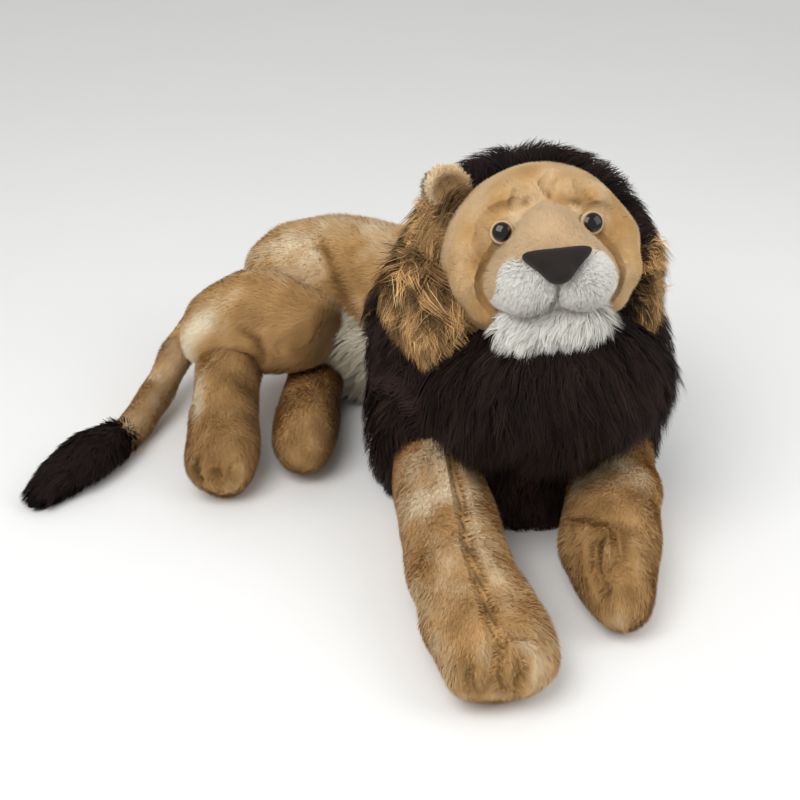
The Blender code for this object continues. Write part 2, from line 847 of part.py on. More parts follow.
def make_head(shop, cuts):
    frame = head_frame()
    head = head_form(frame)
    eyes, seats, wells = make_eyes(shop, eye_frames(head, frame))
    socket = ("DIFFERENCE", cuts["neck_socket"])
    in_reach = ("INTERSECT", cuts["head_reach"])
    skin = shop.skin("head_skin", head, shop.gold, socket, *seats)
    filling = shop.stuffing("head_stuffing", head, socket, *seats, *wells)
    face = make_face(shop, frame, head, seats)
    on_head = shop.room("head_under_mane", head)
    trim, rooms = [], []
    for name, place, turn_deg in (
        ("right", ear_right_place, ear_right_turn_deg),
        ("left", ear_left_place, ear_left_turn_deg),
    ):
        pieces, space = make_ear(shop, name, frame, place, turn_deg, on_head)
        trim += pieces
        rooms += space
    around_ears = tuple(rooms)
    for name, place, half, turn_deg in (
        ("right", ruff_right_place, ruff_right_half, ruff_right_turn_deg),
        ("left", ruff_left_place, ruff_left_half, ruff_left_turn_deg),
    ):
        ruff, space = make_ruff(shop, name, frame, place, half, turn_deg, (on_head, in_reach, *around_ears))
        trim.append(ruff)
        rooms.append(space)
    rooms.append(shop.room("snout_room", snout_form(frame)))
    rooms.append(shop.room("beard_room", beard_form(frame)))
    rows = placed_rows(head_mane_shares, Vector(), head_mane_depth, head_mane_width, head_mane_height)
    collar = stuffed_form("head_mane", rows, 8)
    collar.transform(frame)
    throat = egg(throat_mane_half, frame @ Matrix.Translation(throat_mane_place), 16, 10)
    under_collar = shop.room("collar_over_throat", collar)
    manes = [
        shop.piece("head_mane", collar, shop.brown, in_reach, on_head, socket, *rooms),
        shop.piece("throat_mane", throat, shop.brown, in_reach, on_head, under_collar, socket, *rooms),
    ]
    return [skin, filling] + manes + eyes + face + trim


def make_limb(shop, name, form, look, cuts):
    return [shop.skin(f"{name}_skin", form, look, *cuts), shop.stuffing(f"{name}_stuffing", form, *cuts)]


def make_foreleg(shop, floor, name, shares, x, y):
    rows = placed_rows(shares, Vector((x, y, 0.0)), foreleg_length, foreleg_width, foreleg_height)
    form = settled(stuffed_form(name, rows))
    behind = shop.cutter(f"{name}_root", prism(behind_outline(x, y, shoulder_radius), -overrun, overrun))
    return make_limb(shop, name, form, shop.gold, [("DIFFERENCE", behind), ("DIFFERENCE", floor)])


def thigh_form():
    """The upper hind leg's thigh and shank, lying on top of the lower leg."""
    start = Vector((thigh_right_x, thigh_middle_y, 0.0))
    rows = placed_rows(thigh_shares, start, thigh_length, thigh_width, thigh_width)
    return settled(stuffed_form("thigh", rows), hind_left_height + seam_gap)


def make_hind_right(shop, floor, thigh):
    far = (overrun, overrun, overrun)
    behind = shop.cutter("hip_plane", box((hip_right_x, hip_right_y, -overrun), far))
    pieces = make_limb(shop, "hind_thigh_right", thigh, shop.gold, [("DIFFERENCE", behind)])
    start = Vector((foot_right_x, foot_right_y, 0.0))
    rows = placed_rows(foot_shares, start, foot_length, foot_width, foot_height)
    foot = settled(stuffed_form("foot", rows))
    cuts = [shop.room("thigh_over_foot", thigh), ("DIFFERENCE", floor)]
    return pieces + make_limb(shop, "hind_foot_right", foot, shop.gold, cuts)


def make_hind_left(shop, floor):
    start = Vector((hip_left_x, hip_left_y, 0.0))
    rows = placed_rows(hind_left_shares, start, hind_left_length, hind_left_width, hind_left_height)
    form = settled(stuffed_form("hind_left", rows))
    outline = behind_outline(hip_left_x, hip_left_y, hip_left_radius)
    behind = shop.cutter("hind_left_root", prism(outline, -overrun, overrun))
    return make_limb(shop, "hind_leg_left", form, shop.gold, [("DIFFERENCE", behind), ("DIFFERENCE", floor)])


def tail_forms():
    start = Vector((tail_root_x, tail_root_y, tail_root_z))
    rows = placed_rows(tail_shares, start, tail_length, tail_diameter, tail_diameter, tail_root_z)
    tail = settled(stuffed_form("tail", rows))
    end = rows[-2][0]
    start = Vector((end.x, end.y, 0.0))
    tuft_rows = placed_rows(tuft_shares, start, tuft_length, tuft_width, tuft_width)
    return tail, settled(stuffed_form("tuft", tuft_rows))


def make_tail(shop, floor):
    tail, tuft = tail_forms()
    outline = behind_outline(0.0, 0.0, tail_root_radius)
    behind = shop.cutter("tail_root", prism(outline, -overrun, overrun, tail_facing()))
    on_floor = ("DIFFERENCE", floor)
    pieces = make_limb(shop, "tail", tail, shop.gold, [("DIFFERENCE", behind), on_floor])
    pieces.append(shop.piece("tail_tuft", tuft, shop.brown, shop.room("tail_in_tuft", tail), on_floor))
    return pieces


def tail_facing():
    """Turns a fan that opens to -Y so that it opens to -X at the tail's root."""
    return Matrix.Translation((tail_root_x, tail_root_y, 0.0)) @ Matrix.Rotation(math.radians(-90.0), 4, "Z")


def tail_pocket(shop):
    """The room in the rump for the tail's round root and its swing."""
    outline = fan_outline(
        0.0, 0.0, tail_root_radius + seam_gap, tail_out_deg + tail_ease_deg, tail_in_deg + tail_ease_deg
    )
    low = tail_root_z - tail_diameter
    high = tail_root_z + tail_diameter / 2 + tail_root_drop + seam_gap
    return shop.cutter("tail_pocket", prism(outline, low, high, tail_facing()))


def shared_cutters(shop, thigh):
    """Every cutter that more than one piece uses, by name."""
    hole, socket = neck_cutters(shop)
    radius = shoulder_radius + seam_gap
    ceiling = foreleg_height + floor_cut + 2 * seam_gap
    out = shoulder_out_deg + shoulder_ease_deg
    inward = shoulder_in_deg + shoulder_ease_deg
    place = (shoulder_right_x, shoulder_right_y)
    right = swing_fan(shop, "shoulder_right", place, radius, out, inward, ceiling)
    place = (shoulder_left_x, shoulder_left_y)
    left = swing_fan(shop, "shoulder_left", place, radius, inward, out, ceiling)
    radius = hip_left_radius + seam_gap
    ceiling = hind_left_height + floor_cut + seam_gap
    out = hip_left_out_deg + hip_left_ease_deg
    inward = hip_left_in_deg + hip_left_ease_deg
    low_hip = swing_fan(shop, "hip_left", (hip_left_x, hip_left_y), radius, inward, out, ceiling)
    return {
        "floor": floor_cutter(shop),
        "neck_hole": hole,
        "neck_socket": socket,
        "head_reach": reach_ball(shop, "head_reach", head_reach - seam_gap),
        "head_seat": reach_ball(shop, "head_seat", head_reach / math.cos(math.pi / ball_steps) ** 2),
        "shoulder_right": right,
        "shoulder_left": left,
        "hip_pocket": hip_pocket(shop, thigh),
        "hip_left": low_hip,
        "tail_pocket": tail_pocket(shop),
    }


def torso_form():
    start = Vector((torso_front_x, torso_front_y, 0.0))
    rows = placed_rows(torso_shares, start, torso_length, torso_width, torso_height)
    return settled(stuffed_form("torso", rows, 8))


def main():
    clear_scene()
    shop = Shop()
    thigh = thigh_form()
    cuts = shared_cutters(shop, thigh)
    floor = cuts["floor"]
    torso = torso_form()
    make_torso(shop, cuts, torso)
    make_chest_mane(shop, cuts, torso)
    neck = pivot(shop, "neck_pivot", (neck_x, neck_y, neck_z))
    hang(neck, [make_neck(shop)])
    head = pivot(shop, "head_pivot", (neck_x, neck_y, neck_z))
    hang(head, make_head(shop, cuts))
    for name, shares, x, y in (
        ("foreleg_right", foreleg_right_shares, shoulder_right_x, shoulder_right_y),
        ("foreleg_left", foreleg_left_shares, shoulder_left_x, shoulder_left_y),
    ):
        shoulder = pivot(shop, f"{name}_pivot", (x, y, foreleg_height / 2))
        hang(shoulder, make_foreleg(shop, floor, name, shares, x, y))
    hip = pivot(shop, "hind_right_pivot", (hip_right_x, hip_right_y, hip_right_z))
    hang(hip, make_hind_right(shop, floor, thigh))
    hip = pivot(shop, "hind_left_pivot", (hip_left_x, hip_left_y, hind_left_height / 2))
    hang(hip, make_hind_left(shop, floor))
    root = pivot(shop, "tail_pivot", (tail_root_x, tail_root_y, tail_root_z))
    hang(root, make_tail(shop, floor))


main()
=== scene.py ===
"""A large plush lion lying on the floor: stuffed plush skins with standing pile, dark manes and safety eyes.

Metres, +Z up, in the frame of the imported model. The face and the forelegs point to -Y, and the lion's right
side is at -X. Each stuffed form is a smooth skin with the pile standing on it as separate strands.
"""

import json
import math
from functools import partial

import bmesh
import bpy
import numpy as np
from bpy.props import FloatProperty, FloatVectorProperty, IntProperty, PointerProperty
from mathutils import Matrix, Vector
from mathutils.bvhtree import BVHTree
from mathutils.kdtree import KDTree

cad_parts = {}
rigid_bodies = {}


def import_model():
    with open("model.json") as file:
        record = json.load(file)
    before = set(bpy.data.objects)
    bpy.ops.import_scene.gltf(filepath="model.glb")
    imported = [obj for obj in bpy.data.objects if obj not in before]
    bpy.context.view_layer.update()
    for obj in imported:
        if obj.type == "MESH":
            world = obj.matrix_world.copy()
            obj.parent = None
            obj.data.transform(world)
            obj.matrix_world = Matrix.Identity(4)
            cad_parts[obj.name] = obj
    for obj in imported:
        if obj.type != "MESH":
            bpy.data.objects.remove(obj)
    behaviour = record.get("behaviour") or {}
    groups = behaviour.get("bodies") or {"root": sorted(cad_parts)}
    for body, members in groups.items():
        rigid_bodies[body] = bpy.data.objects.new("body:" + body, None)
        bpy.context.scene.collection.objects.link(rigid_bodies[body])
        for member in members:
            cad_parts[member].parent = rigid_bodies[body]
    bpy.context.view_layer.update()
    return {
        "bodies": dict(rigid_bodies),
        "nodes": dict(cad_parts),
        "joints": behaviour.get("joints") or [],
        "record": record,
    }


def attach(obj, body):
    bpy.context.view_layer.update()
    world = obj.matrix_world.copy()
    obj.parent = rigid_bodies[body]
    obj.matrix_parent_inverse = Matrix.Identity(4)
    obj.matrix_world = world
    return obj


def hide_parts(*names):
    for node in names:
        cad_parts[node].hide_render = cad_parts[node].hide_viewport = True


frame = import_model()

bl_info = {
    "name": "Plush Lion",
    "version": (1, 0, 0),
    "blender": (4, 5, 0),
    "location": "3D View > Sidebar > Plush Lion",
    "description": "Dresses the packed plush lion with stuffed skins, pile, manes and a face",
    "category": "Add Mesh",
}

up_z = Vector((0.0, 0.0, 1.0))
forward_y = Vector((0.0, 1.0, 0.0))

# Places of the stuffed forms, and their sizes as (length, width, height), with the rise of their levels
# where that isn't the height
torso_place = (0.205, 0.0)
torso_sizes = (0.385, 0.240, 0.242)
foreleg_right_place = (0.105, 0.020)
foreleg_left_place = (0.300, 0.085)
foreleg_sizes = (0.408, 0.118, 0.118)
thigh_place = (-0.022, 0.152)
thigh_sizes = (0.190, 0.124, 0.124)
foot_place = (-0.155, 0.150)
foot_sizes = (0.200, 0.092, 0.092)
hind_left_place = (-0.052, 0.225)
hind_left_sizes = (0.246, 0.080, 0.078)
tail_root = (-0.118, 0.296, 0.140)
tail_sizes = (0.300, 0.050, 0.050, 0.140)
tuft_sizes = (0.175, 0.082, 0.082)
chest_place = (0.190, 0.060)
chest_sizes = (0.384, 0.384, 0.310, 0.300)

# The belly panel on the torso
belly_left_x = -0.020
belly_right_x = 0.060
belly_reach = 0.030
belly_high_z = 0.120
belly_slant = 0.050
belly_rise = 0.034
belly_middle_share = 0.66

# The head, and the forms that follow are in its own frame
head_place = (0.203, -0.016, 0.310)
head_turns_deg = (("Z", 2.6), ("X", -19.0), ("Y", -5.0))
head_sizes = (0.170, 0.213, 0.190)
head_mane_sizes = (0.180, 0.272, 0.256)
snout_place = (0.0, -0.050, 0.001)
snout_sizes = (0.078, 0.142, 0.122)
snout_fold_width = 0.0078
snout_fold_depth = 0.0042
snout_fold_top = 0.034
snout_fold_fade = 0.012
snout_fold_shade = 0.42
# The mouth's dark line between the muzzle pads, partly its sewn seam and partly painted shade in the gap, and
# the painted shade under the pads
mouth_width = 0.0032
mouth_fade = 0.030
mouth_shade = 0.65
muzzle_low_z = -0.030
muzzle_low_fade = 0.014
muzzle_low_shade = 0.35
face_parting = (0.0, -0.110, 0.001)
nose_place = (0.0, -0.130, 0.001)
nose_width = 0.070
nose_height = 0.036
nose_depth = 0.016
nose_tilt_deg = -14.0
eye_radius = 0.012
eye_bulge = 0.0075
eye_sink = 0.0010
eye_spacing = 0.090
eye_level = 0.034
eye_back_share = 0.6
eye_socket_radius = 0.019
eye_socket_depth = 0.0045
shank_length = 0.016
ear_half = (0.025, 0.009, 0.027)
ear_dish_radius = 0.021
ear_dish_depth = 0.007
ear_lining_share = 0.55
ear_lining_fade = 0.2
ear_lining_back = 0.25
ear_lining_low = 0.1
ear_root_y = 0.02
ears = {
    "right": ((-0.088, 0.012, 0.078), (("X", 8.0), ("Z", 0.0), ("Y", -38.0))),
    "left": ((0.118, 0.036, -0.002), (("X", 0.0), ("Z", 30.0), ("Y", 112.0))),
}

# Balls on the head: place, half sizes, turn about the Y axis in degrees, and how finely they are cut
balls = {
    "pad_right": ((-0.0255, -0.104, -0.016), (0.0345, 0.029, 0.0335), 0.0, 3),
    "pad_left": ((0.0255, -0.104, -0.016), (0.0345, 0.029, 0.0335), 0.0, 3),
    "beard": ((0.0, -0.076, -0.058), (0.063, 0.031, 0.032), 0.0, 2),
    "throat": ((0.0, -0.010, -0.130), (0.138, 0.108, 0.092), 0.0, 3),
    "ruff_right": ((-0.110, 0.004, -0.038), (0.042, 0.040, 0.072), -22.0, 3),
    "ruff_left": ((0.108, 0.040, -0.042), (0.022, 0.030, 0.058), 10.0, 3),
}

# Where the snout's white ends, as (across, height), and the golden fringe that leads up to the right ear
white_edge = ((0.0, 0.008), (0.029, 0.007), (0.038, 0.004), (0.048, -0.003), (0.056, -0.014), (0.064, -0.040))
fringe_line = ((-0.082, -0.010, 0.066), (-0.104, -0.006, 0.030), (-0.110, -0.006, -0.010))
fringe_width = 0.014
white_edge_fade = 0.002

# How deep the skins lie under the pile's outline, and how finely the forms are smoothed
pile_sink = 0.0050
face_pile_sink = 0.0035
chin_sink = 0.0080
ear_sink = 0.0040
mane_sink = 0.0120
ruff_sink = 0.0100
tuft_sink = 0.0110
tuft_bare_end = 0.042
throat_hem = 0.115
floor_touch = 0.0008
floor_ease = 0.012
coarse_levels = 3
smooth_levels = 4
face_levels = 5

# Strands: how deep their roots stand, how unevenly they lift, grow and roll, and how they narrow and shade
root_depth = 0.0008
lift_drift = 0.22
lift_scatter = 0.16
lift_least = 0.05
lift_most = 1.5
length_drift = 0.1
length_range = (0.6, 1.2)
width_range = (0.7, 1.25)
height_range = (0.3, 1.35)
beat_range = (0.7, 1.3)
phase_scatter = 0.5
clump_power = 1.5
roll_deg = 35.0
tip_narrowing = 0.8
aim_shading = 0.2
# The skin under the pile is painted this much darker than the pile's own colours, as shade under the strands
skin_shade = 0.97

# Patches of (size, seed) in which the strands of all pieces turn, lift and grow alike
swirl_patches = (0.05, 21)
lift_patches = (0.03, 22)
length_patches = (0.04, 23)

# The nap, with painted sheen and shade: how much its broad patches and its tufts count, and how dark the
# deepest strokes of painted shade go
patch_nap = 0.14
tuft_nap = 0.20
deepest_shade = 0.55

# Lengths of the longer piles, as shares of the body's and the manes' settings or in metres
belly_pile_share = 2.6
muzzle_pile_share = 1.5
head_mane_share = 0.62
throat_mane_share = 0.72
chest_mane_share = 0.60
tuft_pile_length = 0.027
chin_pile_length = 0.025
ear_pile_length = 0.0105
ruff_pile_length = 0.070
fringe_pile_length = 0.050

# Which way the longer piles are combed, and how the manes end and brighten
muzzle_push = (0.0, 0.0, -0.4)
chin_push = (0.0, 0.0, -0.55)
fringe_push = (0.0, 0.0, -0.9)
ruff_push = (0.25, 0.05, -0.9)
ruff_parting = (0.085, 0.0, 0.055)
mane_fan_y = 0.045
mane_fan_push = (0.0, 0.0, -0.35)
chest_spread = 0.35
chest_tip_gain = 1.9
throat_fade = 0.02

# Partings and creases in the pile
parting_lean = 1.5
parting_width = 0.007
crease_width = 0.006
crease_step = 0.008
crease_search = 0.020
crease_thin_from = 2.4
crease_thin_least = 0.15

# Colours that no setting holds: the palest painted highlight on the pile, and rings of (share of the radius,
# colour) on an eye
highlight_white = (0.93, 0.81, 0.60)
eye_rings = (
    (0.0, (0.004, 0.003, 0.003)),
    (0.70, (0.005, 0.004, 0.003)),
    (0.75, (0.060, 0.026, 0.010)),
    (0.81, (0.110, 0.050, 0.018)),
    (0.85, (0.50, 0.36, 0.20)),
    (1.0, (0.66, 0.52, 0.34)),
)

# Floor, lamps as (place, size), and camera
floor_half = 40.0
lamps = {"key": ((-0.7, -1.1, 1.9), 1.4), "side": ((1.5, -0.6, 1.2), 1.2)}
lamp_target = (0.05, 0.0, 0.12)
camera_place = (0.057, -1.24, 0.84)
camera_tilt_deg = 60.0
sensor_width = 36.0

# Strands of each pile at full density
strand_counts = {
    "body_pile": 92000,
    "belly_pile": 9000,
    "foreleg_right_pile": 96000,
    "foreleg_left_pile": 80000,
    "hind_thigh_right_pile": 75000,
    "hind_foot_right_pile": 52000,
    "hind_leg_left_pile": 45000,
    "tail_pile": 50000,
    "tuft_pile": 11000,
    "head_pile": 96000,
    "snout_pile": 42000,
    "muzzle_right_pile": 20000,
    "muzzle_left_pile": 20000,
    "chin_pile": 13000,
    "ear_right_pile": 16000,
    "ear_left_pile": 16000,
    "head_mane_pile": 24500,
    "throat_mane_pile": 24500,
    "chest_mane_pile": 24500,
    "ruff_right_pile": 13000,
    "ruff_left_pile": 13000,
    "fringe_right_pile": 5000,
}

# Rows of (across, back, level, half width, half height) along each form, in hundredths of its sizes
torso_shares = (
    (0, 0, 42, 27, 30), (0, 15, 46, 40, 44), (-5, 34, 48, 44, 48), (-20, 52.5, 48.5, 45, 48.5),
    (-40, 66, 48, 44, 48), (-60, 73, 50, 47.5, 50), (-75, 72.5, 47, 43, 46), (-86, 67.5, 45, 26, 30),
)
foreleg_right_shares = (
    (0, 20, 50, 42, 42), (0, 2, 51, 50, 50), (-1, -25, 49, 46, 49), (2, -52, 41, 47, 41),
    (7.8, -76, 39, 54, 39), (12.5, -93, 35, 52, 33), (14, -99, 28, 30, 18),
)
foreleg_left_shares = (
    (0, 20, 50, 42, 42), (0, 2, 51, 48, 50), (1, -28, 50, 42, 48), (-3, -52, 45, 47, 45),
    (-6.5, -68, 40, 50, 40), (-5.5, -82, 34, 34, 33), (-4, -90.5, 26, 19, 17),
)
thigh_shares = (
    (0, -9, -10, 24, 24), (-10, -2, -2, 42, 42), (-34, 4, 2, 49, 50), (-62, 8, 0, 47, 47),
    (-86, 4, -8, 38, 38), (-98, 0, -14, 22, 22),
)
foot_shares = (
    (0, 0, 125, 44, 42), (0, -18, 112, 46, 46), (0, -42, 84, 46, 48), (1, -64, 60, 50, 50),
    (2.5, -84, 50, 49, 50), (3, -97, 42, 28, 28),
)
hind_left_shares = (
    (0, 24, 50, 42, 42), (0, 4, 50, 49, 50), (-1, -30, 50, 46, 50), (-2, -62, 50, 50, 50),
    (-3, -84, 46, 46, 46), (-3, -94, 40, 24, 24),
)
tail_shares = (
    (17, 2, 2, 44, 44), (-2, 1, 0, 50, 50), (-23, -4, -10, 50, 50), (-39, -17, -49, 49, 49),
    (-47, -39, -76, 48, 48), (-53.5, -64, -83, 47, 47), (-59, -77, -84, 44, 44),
)
tuft_shares = (
    (0, 0, 30, 24, 22), (-10, -16, 34, 42, 34), (-26, -42, 36, 50, 36), (-42, -68, 28, 40, 28),
    (-52, -86, 20, 22, 18), (-56, -95, 16, 10, 8),
)
head_shares = (
    (0, 50, 0, 24, 24), (0, 36, 0, 42, 42), (0, 8, 0, 50, 50), (0, -20, 0, 50, 50), (0, -40, 0, 43, 43),
    (0, -49, 0, 27, 27),
)
snout_shares = ((0, 0, 0, 50, 50), (0, -48, 0, 50, 50), (0, -82, -2, 42, 42), (0, -102, -2, 24, 24))
head_mane_shares = (
    (0, 130, -40, 40, 40), (0, 100, -32, 56, 56), (0, 66, -18, 60, 62), (0, 32, -4, 53, 54),
    (0, 8, 0, 48, 49), (0, -6, 0, 40, 40),
)
chest_shares = (
    (0, -2, -14, 38, 40), (0, -2, 0, 44, 46), (0, -1, 14, 47, 48), (0, 0, 36, 50, 50), (0, 5, 60, 49, 50),
    (-1, 14, 84, 41, 42), (-2, 20, 98, 24, 24),
)

# The snout's (height, width) from bottom to top, and the nose's outline and its rings of (forward, scale)
snout_pear_shares = (
    (-1.0, 1.3), (-0.6, 1.18), (-0.3, 1.05), (0.0, 0.93), (0.2, 0.76), (0.31, 0.66), (0.55, 0.58),
    (1.0, 0.6),
)
nose_outline_shares = (
    (-0.5, 0.24), (-0.46, 0.46), (0.0, 0.42), (0.46, 0.46), (0.5, 0.24), (0.24, -0.14), (0.13, -0.52),
    (-0.13, -0.52), (-0.24, -0.14),
)
nose_ring_shares = ((-0.6, 0.98), (0.0, 1.04), (0.6, 1.0), (1.0, 0.62))

# Swellings of each form as (x, y, z, radius, height) in millimetres; dents have a negative height
torso_swells = (
    (-115, 255, 195, 90, 12), (-90, 200, 200, 70, 15), (-140, 240, 170, 70, 14), (-120, 212, 196, 50, 10),
)
thigh_swells = (
    (-165, 165, 175, 70, 8), (-205, 130, 122, 50, 14), (-115, 180, 200, 60, 13), (-10, 130, 140, 60, -13),
)
hind_left_swells = ((-70, 80, 40, 110, 6),)
chest_swells = ((-4, 40, 130, 110, -18), (340, 150, 60, 90, 22))
foreleg_left_swells = ((335, 165, 60, 70, -16),)
head_swells = (
    (-43, -72, 72, 27, 8.5), (-10, -76, 77, 18, 5.5), (26, -76, 74, 21, 6.5), (58, -70, 62, 24, 8.5),
    (-87, -63, 24, 30, 5.5), (-86, -64, -18, 30, 9.5), (-73, -71, -52, 26, 8), (87, -63, 20, 30, 5.5),
    (86, -64, -18, 30, 9.5), (73, -71, -52, 26, 8), (0, -40, 92, 100, 7),
)
mouth_dents = ((0, -128, -34, 50, -20),)
nostril_dents = ((-17.5, -16, -5, 10, -3.5), (17.5, -16, -5, 10, -3.5))


def mark(*points, fold=None, stroke=None):
    """A line in millimetres on a form, with its fold's (width, depth) and its stroke's (width, amount):
    painted light where the amount is above nought, painted shade below it.
    """
    line = np.array(points) / 1000
    return line, fold and (fold[0] / 1000, fold[1] / 1000), stroke and (stroke[0] / 1000, stroke[1])


def folds_of(marks):
    return [(line, *fold) for line, fold, _ in marks if fold]


def strokes_of(marks):
    return [(line, *stroke) for line, _, stroke in marks if stroke]


# Sewn lines and creases on each form, and strokes of painted light and shade on its pile: paler for painted
# light on tops, ridges and bulges, and below nought darker for painted shade in creases, folds and along
# seams
torso_marks = (
    mark((-83, 248, 228), (-33, 278, 237), (30, 262, 236), stroke=(28, 0.7)),
    mark((-134, 235, 190), (-83, 225, 213), (-54, 215, 213), stroke=(22, 0.8)),
    mark(
        (-37, 226, 213), (-26, 207, 197), (-17, 188, 175), (-6, 162, 136), fold=(22, 14),
        stroke=(9, -1.6),
    ),
    mark((8, 212, 215), (12, 185, 180), stroke=(16, -0.5)),
    mark((35, 235, 222), (42, 205, 185), (40, 185, 150), stroke=(24, 0.6)),
    mark((-75, 228, 215), (-50, 214, 203), (-42, 205, 190), stroke=(14, 0.5)),
)
foreleg_right_marks = (
    mark((135, -66, 102), (134, -131, 101), (128, -210, 97), (150, -270, 86), stroke=(11, 0.9)),
    mark((57, -134, 71), (83, -159, 98), (100, -150, 104), stroke=(20, 1.2)),
    mark((80, -90, 100), (100, -80, 108), (105, -110, 108), stroke=(22, 0.8)),
    mark((120, -330, 85), (100, -370, 70), stroke=(30, -0.25)),
    mark((168, -346, 78), (184, -361, 68), (178, -381, 49), stroke=(8, 1.1)),
    mark((66, -250, 50), (74, -330, 45), stroke=(14, 0.7)),
    mark(
        (116, -82, 111), (123, -169, 102), (126, -224, 96), (133, -273, 91), (139, -312, 86),
        (145, -345, 80), fold=(10, 6), stroke=(2.6, -2.6),
    ),
    mark((146, -354, 79), (142, -377, 68), (139, -389, 45), fold=(11, 8), stroke=(3, -2.6)),
    mark((159, -347, 79), (175, -342, 77), fold=(9, 5), stroke=(2.5, -2.0)),
    mark((171, -368, 70), (168, -384, 45), fold=(11, 7), stroke=(3, -2.2)),
    mark((112, -378, 62), (111, -388, 42), fold=(11, 6), stroke=(3, -1.4)),
)
foreleg_left_marks = (
    mark((250, -110, 90), (290, -101, 107), (318, -113, 102), stroke=(26, 1.5)),
    mark((268, -286, 40), (286, -286, 46), stroke=(13, 1.1)),
    mark((281, -198, 94), (280, -234, 83), (263, -249, 73), fold=(12, 6), stroke=(3.2, -1.1)),
    mark((253, -211, 86), (247, -238, 71), (255, -259, 62), fold=(12, 6), stroke=(3, -1.0)),
    mark((243, -160, 87), (259, -178, 92), (277, -182, 95), fold=(16, 5), stroke=(9, -0.6)),
)
thigh_marks = (
    mark((-134, 144, 196), (-159, 129, 186), (-181, 123, 163), stroke=(11, 1.0)),
    mark((-190, 120, 160), (-205, 125, 135), (-204, 118, 110), stroke=(21, 2.0)),
    mark((-120, 96, 135), (-80, 96, 130), stroke=(20, -0.3)),
    mark((-130, 186, 200), (-79, 176, 200), stroke=(13, 0.7)),
    mark((-162, 120, 113), (-133, 113, 114), (-112, 111, 110), stroke=(6, -1.5)),
    mark((-176, 112, 112), (-161, 113, 117), (-132, 106, 118), (-112, 104, 113), fold=(14, 7)),
    mark((-130, 107, 157), (-114, 102, 146), (-108, 100, 125), fold=(14, 6), stroke=(5, -1.4)),
    mark((-109, 106, 160), (-93, 108, 166), stroke=(7, 0.9)),
    mark((-64, 103, 142), (-42, 110, 158), (-33, 128, 176), stroke=(12, -0.8)),
    mark((-85, 98, 140), (-60, 102, 130), stroke=(10, -0.6)),
    mark((-79, 100, 143), (-57, 105, 158), fold=(16, 4)),
)
foot_marks = (
    mark((-196, 110, 110), (-192, 78, 104), (-187, 44, 94), stroke=(14, 2.0)),
    mark((-185, 40, 96), (-186, 13, 83), stroke=(12, 1.0)),
    mark((-175, -46, 30), (-134, -42, 26), stroke=(14, 0.5)),
    mark((-157, -42, 67), (-153, -47, 46), fold=(12, 5), stroke=(3.5, -2.0)),
    mark((-160, -20, 80), (-150, -46, 50), stroke=(22, -0.5)),
    mark((-184, -30, 62), (-180, -38, 42), fold=(11, 4), stroke=(3.5, -1.4)),
    mark((-152, 66, 120), (-128, 65, 108), stroke=(14, -0.5)),
    mark((-130, -34, 60), (-130, -40, 42), fold=(11, 4)),
)
hind_left_marks = (
    mark((-81, 110, 72), (-54, 104, 80), stroke=(10, 0.9)),
    mark((-94, 110, 60), (-78, 102, 64), fold=(10, 5), stroke=(6, -1.6)),
    mark((-70, 20, 56), (-68, 12, 40), fold=(10, 4)),
)
tail_marks = (
    mark((-250, 200, 55), (-262, 170, 52), (-278, 104, 46), stroke=(22, 0.4)),
)
head_marks = (
    mark((13, -64, 89), (3, -74, 78), (5, -75, 63), fold=(8, 5), stroke=(3, -1.2)),
    mark((-18, -75, 60), (-33, -76, 58), (-45, -77, 56), (-63, -69, 45), stroke=(3.5, -1.3)),
    mark((-18, -75, 60), (-33, -76, 58), (-45, -77, 56), (-55, -73, 52), (-63, -69, 45), fold=(9, 5)),
    mark((-23, -76, 75), (-29, -78, 61), fold=(8, 4), stroke=(3, -0.8)),
    mark((24, -74, 56), (45, -75, 49), (56, -75, 46), (67, -68, 42), fold=(9, 5), stroke=(3.5, -1.3)),
    mark((-66, -74, 36), (-64, -74, 8), stroke=(11, -0.5)),
    mark((66, -74, 36), (64, -74, 8), stroke=(11, -0.5)),
    mark((-80, -70, 52), (-40, -76, 62), stroke=(9, -0.35)),
    mark((80, -70, 50), (40, -76, 60), stroke=(9, -0.35)),
    mark((-34, -80, 42), (-29, -81, 47), stroke=(6, 1.6)),
    mark((30, -81, 45), (26, -81, 49), stroke=(6, 1.2)),
    mark((-43, -80, 74), (-10, -84, 80), stroke=(14, 0.35)),
    mark((28, -84, 78), (58, -78, 66), stroke=(14, 0.35)),
    mark((-87, -68, 24), (-92, -70, -25), stroke=(14, 0.35)),
    mark((36, -76, 74), (40, -78, 56), fold=(8, 3)),
    mark((-64, -72, 40), (-69, -72, 26), (-64, -72, 12), fold=(8, 3)),
    mark((64, -72, 40), (69, -72, 26), (64, -72, 12), fold=(8, 3)),
)

# Limbs: rows, place, sizes, lumps as (size, height, seed), swellings, marks, sides, height off the floor
limbs = {
    "torso": (torso_shares, torso_place, torso_sizes, (0.09, 0.0015, 3), torso_swells, torso_marks, 8),
    "foreleg_right": (
        foreleg_right_shares, foreleg_right_place, foreleg_sizes, (0.05, 0.0014, 5), (), foreleg_right_marks,
    ),
    "foreleg_left": (
        foreleg_left_shares, foreleg_left_place, foreleg_sizes, (0.05, 0.0014, 5), foreleg_left_swells,
        foreleg_left_marks,
    ),
    "thigh": (
        thigh_shares, thigh_place, thigh_sizes, (0.06, 0.0015, 7), thigh_swells, thigh_marks, 6,
        hind_left_sizes[2],
    ),
    "foot": (foot_shares, foot_place, foot_sizes, (0.05, 0.001, 8), (), foot_marks),
}

